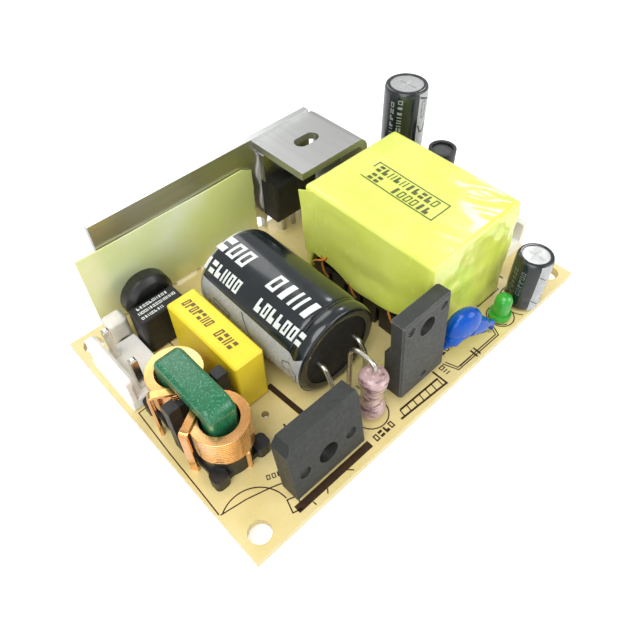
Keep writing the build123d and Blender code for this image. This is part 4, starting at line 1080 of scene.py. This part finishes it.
def sheetShape():
    sides = []
    for shift in (0, sheet["thick"]):
        points = []
        for i in range(sheet["across"]):
            s = i / (sheet["across"] - 1)
            for j in range(sheet["along"]):
                t = j / (sheet["along"] - 1)
                tear = sheet["tear"] * noise.noise(Vector((0.0, t * 9, 3.0))) * ramp(s, 0.9, 1.0)
                x = sheet["left"] + (sheet["right"] - sheet["left"]) * s + tear
                z = sheet["low"] + (sheet["high"] - sheet["low"]) * t
                z -= sheet["droop"] * ramp(s, 0.93, 1.0) * t * t + sheet["wave"] * math.sin(3.0 * s) * t
                bow = sheet["bow"] * (0.5 + 0.5 * noise.noise(Vector((x * 0.09, z * 0.08, 1.5)))) * t
                points.append(onBoard(x, sheet["back"] - sheet["thick"] - bow + shift, z))
        sides.append(points)
    return twoSided(*sides, gridFaces(sheet["across"], sheet["along"]))


placePiece("thinSheet", sheetShape(), "sheetFilm", ["insulation_sheet"], 60)
print("sheet")


# leads of the bulk capacitor and of the resistor

wires = {
    "bulkWires": {"radius": 0.4, "node": "bulk_capacitor_leads", "bend": 1.0, "runs": [
        [(24.45, 13.8, 8.0), (24.45, 12.3, 8.0), (24.45, 10.9, 5.8), (24.45, 10.9, -3.6)],
        [(31.95, 13.8, 8.0), (31.95, 12.3, 8.0), (31.95, 10.9, 5.8), (31.95, 10.9, -3.6)]]},
    "resistorWires": {"radius": 0.4, "node": "resistor_leads", "bend": 2.3, "runs": [
        [(27.6, 5.4, 1.2), (27.6, 5.4, -3.6)],
        [(27.6, 5.4, 10.5), (27.6, 5.4, 13.0), (27.6, 10.2, 13.0), (27.6, 10.2, -3.6)]]},
}
for name, values in wires.items():
    placePiece(name, roundWires(values, 14, 20), "tinned", [values["node"]], 60)


# standing resistor: paint pulled into wrinkles between its two bulbs

resistor = {"place": (27.6, 5.4, 0.7), "length": 10.2, "waist": 1.72, "bulb": 2.2, "neck": 0.75,
            "wrinkle": 0.2, "bulbs": (0.13, 0.87), "spread": 0.13, "round": 0.11,
            "rings": 90, "turns": 72}


def resistorSkin():
    rings = []
    place = onBoard(*resistor["place"])
    for i in range(resistor["rings"] + 1):
        t = i / resistor["rings"]
        bulb = max(math.exp(-((t - spot) / resistor["spread"]) ** 4) for spot in resistor["bulbs"])
        radius = resistor["waist"] + (resistor["bulb"] - resistor["waist"]) * bulb
        end = min(t, 1 - t) / resistor["round"]
        if end < 1:
            radius = resistor["neck"] + (radius - resistor["neck"]) * math.sqrt(max(0.0, 1 - (1 - end) ** 2))
        ring = []
        for x, y in circle(1.0, resistor["turns"]):
            rough = noise.noise(Vector((x * 1.6, y * 1.6, t * 9))) * min(1.0, end)
            reach = radius + resistor["wrinkle"] * rough
            ring.append(place + Vector((reach * x, reach * y, resistor["length"] * t)) * mm)
        rings.append(ring)
    return tube(rings)


placePiece("resistorSkin", resistorSkin(), "mauveCoat", ["resistor_body"], 60)


# disc capacitor: a dipped lens with soft shoulders that run down its legs

disc = {"middle": (47.0, 3.8, 6.7), "radius": 3.35, "thick": 1.75, "turn": -13, "turns": 96, "rings": 20,
        "legs": (-3.9, 7.2), "knee": 2.3, "foot": 1.0, "bend": 1.6, "root": (1.1, -1.3), "flatness": 0.72,
        "lump": 0.02, "shoulders": (1.75, 1.0, 0.62, 0.52, 0.42)}
discTurn = Matrix.Rotation(math.radians(disc["turn"]), 4, "Z")


def onDisc(x, y, z):
    return onBoard(*(Vector(disc["middle"]) + discTurn @ Vector((x, y, z))))


def discSkin():
    count, turns = 2 * disc["rings"], disc["turns"]
    rings = []
    for i in range(1, count):
        a = math.pi * i / count
        reach = disc["radius"] * math.sin(a) ** disc["flatness"]
        ring = []
        for x, z in circle(1.0, turns):
            lump = 1 + disc["lump"] * noise.noise(Vector((x, z, a)) * 1.4)
            ring.append(onDisc(reach * x * lump, disc["thick"] * math.cos(a), reach * z * lump))
        rings.append(ring)
    points, faces = tube(rings, "open")
    for first, way in ((0, 1), ((count - 2) * turns, -1)):
        points.append(onDisc(0, disc["thick"] * way, 0))
        faces += [(first + k, first + (k + 1) % turns, len(points) - 1) for k in range(turns)]
    return points, faces


def taperedSolid(path, radii, count=24):
    # a round sweep whose radius changes evenly from one end to the other through the given ones
    points, faces = sweptSolid(path, circle(1.0, count))
    for k, here in enumerate(path):
        place = k / (len(path) - 1) * (len(radii) - 1)
        step = min(int(place), len(radii) - 2)
        radius = radii[step] + (radii[step + 1] - radii[step]) * (place - step)
        for i in range(k * count, (k + 1) * count):
            points[i] = here + (points[i] - here).normalized() * radius * mm
    return points, faces


def discShoulders():
    # the dip runs out along both legs
    parts = []
    knee, foot = disc["knee"] - disc["middle"][2], disc["foot"] - disc["middle"][2]
    for reach in disc["legs"]:
        start, height = math.copysign(disc["root"][0], reach), disc["root"][1]
        route = [(start, 0, height), (reach * 0.72, 0, knee + 1.3), (reach, 0, knee + 0.3), (reach, 0, foot)]
        path = roundedPath([onDisc(*spot) for spot in route], disc["bend"] * mm, 10)
        parts.append(taperedSolid(path, disc["shoulders"]))
    return joined(parts)


placePiece("discSkin", discSkin(), "blueDip", ["disc_capacitor_body"], 80)
placePiece("discShoulders", discShoulders(), "blueDip", angle=80)
print("small parts")


# underside: solder cones on every lead, tracks and a few chip parts

solder = {"foot radius": 1.15, "height": 1.35, "top radius": 0.45, "sides": 20, "layers": 7, "hollow": 0.32,
          "smallest": (0.85, 0.85, 0.8), "largest": (1.1, 1.1, 1.1), "depth": 1.2, "apart": 1.1,
          "seed": 6}
solderedNodes = [node for node in coats["tinned"] if node != "control_chip_leads"] + [
    "inlet_pins", "output_pins", "choke_coils", "switch_tab_and_leads", "rectifier_tab_and_leads"]


def leadSpots():
    # middles of the groups of vertices that stand out under the board
    spots = []
    for node in solderedNodes:
        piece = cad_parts[node]
        groups = []
        for vertex in piece.data.vertices:
            p = piece.matrix_world @ vertex.co
            if p.z >= boardLow.z - solder["depth"] * mm:
                continue
            near = [group for group in groups if (group[0].xy - p.xy).length < solder["apart"] * mm]
            if near:
                near[0].append(p)
            else:
                groups.append([p])
        for group in groups:
            xs, ys = [p.x for p in group], [p.y for p in group]
            spots.append(Vector(((min(xs) + max(xs)) / 2, (min(ys) + max(ys)) / 2, boardLow.z)))
    return spots


def solderCones(spots):
    sizes = {name.title(): solder[name] * mm for name in ("foot radius", "height", "top radius")}
    sizes.update({"Sides": solder["sides"], "Layers": solder["layers"], "Seed": solder["seed"]})
    t = Tree("solderCones", sizes, "solder")
    size = t.size
    cone = t.add("GeometryNodeMeshCone", {
        "Vertices": size["Sides"], "Side Segments": size["Layers"], "Radius Top": size["Top Radius"],
        "Radius Bottom": size["Foot Radius"], "Depth": size["Height"]})
    apart = t.add("ShaderNodeSeparateXYZ", {0: t.add("GeometryNodeInputPosition")}).node.outputs
    share = t.calc("DIVIDE", apart["Z"], size["Height"])
    belly = t.calc("MULTIPLY", t.calc("SINE", t.calc("MULTIPLY", share, math.pi)), solder["hollow"])
    waist = t.calc("SUBTRACT", 1.0, belly)
    moved = t.add("ShaderNodeCombineXYZ", {"X": t.calc("MULTIPLY", apart["X"], waist),
                                           "Y": t.calc("MULTIPLY", apart["Y"], waist),
                                           "Z": t.calc("MULTIPLY", apart["Z"], -1.0)})
    cone = t.add("GeometryNodeSetPosition", {"Geometry": cone, "Position": moved})
    spans = (((0.0, 0.0, 0.0), (0.0, 0.0, 6.28)), (solder["smallest"], solder["largest"]))
    turn, grown = (t.add("FunctionNodeRandomValue", {"Min": low, "Max": high, "Seed": size["Seed"]},
                         data_type="FLOAT_VECTOR") for low, high in spans)
    shape = t.add("GeometryNodeInstanceOnPoints", {"Points": size["Geometry"], "Instance": cone,
                                                   "Rotation": turn, "Scale": grown})
    return t.grow(shape, rawMesh("solderSpots", spots, []), "solderJoints")


tracks = {"lift": -1.615, "runs": [
    (2.4, [(9.45, 4.0), (9.45, 9.0), (6.0, 12.0), (6.0, 33.0)]),
    (2.2, [(14.5, 4.0), (14.5, 22.0), (18.0, 26.0)]), (2.6, [(19.8, 3.5), (24.4, 8.0), (24.4, 10.9)]),
    (2.6, [(31.9, 10.9), (36.0, 14.0), (36.0, 30.0), (41.5, 32.0)]),
    (2.0, [(27.6, 5.4), (31.0, 3.4), (34.5, 3.4)]), (2.0, [(42.5, 10.0), (42.5, 20.0)]),
    (1.2, [(47.0, 37.5), (44.0, 40.0), (38.0, 40.0), (30.0, 44.0)]),
    (1.2, [(53.0, 37.5), (60.0, 36.0), (64.0, 30.0)]),
    (3.0, [(61.5, 12.0), (67.0, 16.0), (70.0, 22.0), (70.0, 27.0)]),
    (1.2, [(57.9, 3.1), (63.0, 6.0), (63.0, 9.5)]), (3.0, [(70.0, 36.0), (73.5, 33.0), (73.5, 12.0)]),
    (2.4, [(13.3, 30.0), (10.0, 34.0), (10.0, 38.0)]),
    (1.2, [(20.0, 44.0), (26.0, 40.0), (26.0, 34.0)]),
]}
placePiece("undersideTracks", lines(tracks["runs"], tracks["lift"]), "track", away=above)

chips = {"length": 1.9, "width": 1.2, "height": 0.5, "cap": 0.35, "grow": 0.03, "edge": 0.08, "level": -1.6,
         "places": [
    (45.0, 42.5, 0), (49.0, 43.0, 0), (53.0, 42.5, 90), (57.5, 39.5, 90), (43.0, 36.0, 90), (38.0, 36.5, 0),
    (58.0, 33.5, 0), (34.0, 40.0, 0), (61.5, 41.0, 90), (66.5, 32.5, 0)]}


def chipParts(spans, grow):
    # blocks with soft corners under the board, each from one place along the chip to another
    parts = []
    w, h, edge = chips["width"] / 2 + grow, chips["height"] + grow, chips["edge"]
    section = [(-w, 0), (w, 0), (w, -h + edge), (w - edge, -h), (-w + edge, -h), (-w, -h + edge)]
    section = [(u * mm, v * mm) for u, v in section]
    for x, y, angle in chips["places"]:
        turn = Matrix.Rotation(math.radians(angle), 3, "Z")
        for span in spans:
            path = [onBoard(x, y, chips["level"]) + turn @ Vector((s * mm, 0, 0)) for s in span]
            parts.append(sweptSolid(path, section, turn @ Vector((0, 1, 0))))
    return joined(parts)


far, near = chips["length"] / 2, chips["length"] / 2 - chips["cap"]
placePiece("chipBodies", chipParts([(-near, near)], 0.0), "chipEpoxy")
placePiece("chipCaps", chipParts([(-far, -near), (near, far)], chips["grow"]), "solder")
spots = leadSpots()
placePiece("solderJoints", solderCones(spots), "solder", angle=50)
print("solder joints", len(spots))


# studio: floor, lamps, world and camera

studio = {
    "floorSize": 3.0, "floorLift": 0.5, "floorGap": 0.00002, "floorTone": (0.86, 0.86, 0.86, 1),
    "worldLevel": 0.35, "mirrorShare": 0.3,
    "lamps": [
        {"name": "keyLamp", "place": (-0.25, -0.1, 0.5), "size": 0.45, "power": 2.2},
        {"name": "fillLamp", "place": (0.25, -0.4, 0.25), "size": 0.4, "power": 1.3},
        {"name": "leftLamp", "place": (-0.5, -0.25, 0.2), "size": 0.4, "power": 0.9},
        {"name": "glareLamp", "place": (0.45, 0.19, 0.39), "size": 0.1, "power": 0.22},
        {"name": "backLamp", "place": (0.1, 0.45, 0.4), "size": 0.4, "power": 1.0},
    ],
    "cameraPlace": (-0.04872, -0.05024, 0.08386), "cameraTurn": (39.546, 1.595, -42.951),
    "lens": 33.771, "sensor": 36, "near": 0.001, "shift": (0.01776, -0.00586),
}
white = (1, 1, 1, 1)


def floorPaper():
    # pale paper that glows a little for the camera alone
    paper = bpy.data.materials.new("floorPaper")
    paper.use_nodes = True
    t = Nodes(paper.node_tree)
    t.nodes.remove(t.nodes["Principled BSDF"])
    diffuse = t.add("ShaderNodeBsdfDiffuse", {"Color": studio["floorTone"]})
    seen = t.add("ShaderNodeLightPath", output="Is Camera Ray")
    glow = t.add("ShaderNodeEmission", {"Strength": t.calc("MULTIPLY", seen, studio["floorLift"])})
    both = t.add("ShaderNodeAddShader", {0: diffuse, 1: glow})
    t.links.new(both, t.nodes["Material Output"].inputs["Surface"])
    return paper


def buildFloor():
    half, level = studio["floorSize"] / 2, cadBox[0][2] - studio["floorGap"]
    corners = [(-half, -half, level), (half, -half, level), (half, half, level), (-half, half, level)]
    floorMesh = rawMesh("floor", corners, [(0, 1, 2, 3)])
    floorMesh.materials.append(floorPaper())
    floor = bpy.data.objects.new("floor", floorMesh)
    bpy.context.scene.collection.objects.link(floor)


def buildWorld():
    # white for the camera, dimmer as a light and in reflections
    world = bpy.data.worlds.new("studio")
    bpy.context.scene.world = world
    world.use_nodes = True
    t = Nodes(world.node_tree)
    air = t.nodes["Background"]
    air.inputs["Color"].default_value = white
    air.inputs["Strength"].default_value = studio["worldLevel"]
    bright = t.add("ShaderNodeBackground", {"Color": white, "Strength": 1.0})
    rays = t.add("ShaderNodeLightPath").node.outputs
    share = t.calc("MULTIPLY_ADD", rays["Is Glossy Ray"], studio["mirrorShare"], rays["Is Camera Ray"])
    mix = t.add("ShaderNodeMixShader", {0: share, 1: air.outputs[0], 2: bright})
    t.links.new(mix, t.nodes["World Output"].inputs["Surface"])


def buildLamps():
    for lamp in studio["lamps"]:
        data = bpy.data.lights.new(lamp["name"], "AREA")
        data.shape = "DISK"
        data.size = lamp["size"]
        data.energy = lamp["power"]
        light = bpy.data.objects.new(lamp["name"], data)
        light.location = lamp["place"]
        light.rotation_euler = (-Vector(lamp["place"])).to_track_quat("-Z", "Y").to_euler()
        bpy.context.scene.collection.objects.link(light)


def buildCamera():
    data = bpy.data.cameras.new("camera")
    data.lens = studio["lens"]
    data.sensor_width = studio["sensor"]
    data.shift_x, data.shift_y = studio["shift"]
    data.clip_start = studio["near"]
    camera = bpy.data.objects.new("camera", data)
    camera.location = studio["cameraPlace"]
    camera.rotation_euler = [math.radians(a) for a in studio["cameraTurn"]]
    bpy.context.scene.collection.objects.link(camera)
    bpy.context.scene.camera = camera
    bpy.context.scene.view_settings.view_transform = "Standard"


buildFloor()
buildWorld()
buildLamps()
buildCamera()
print("studio ready")
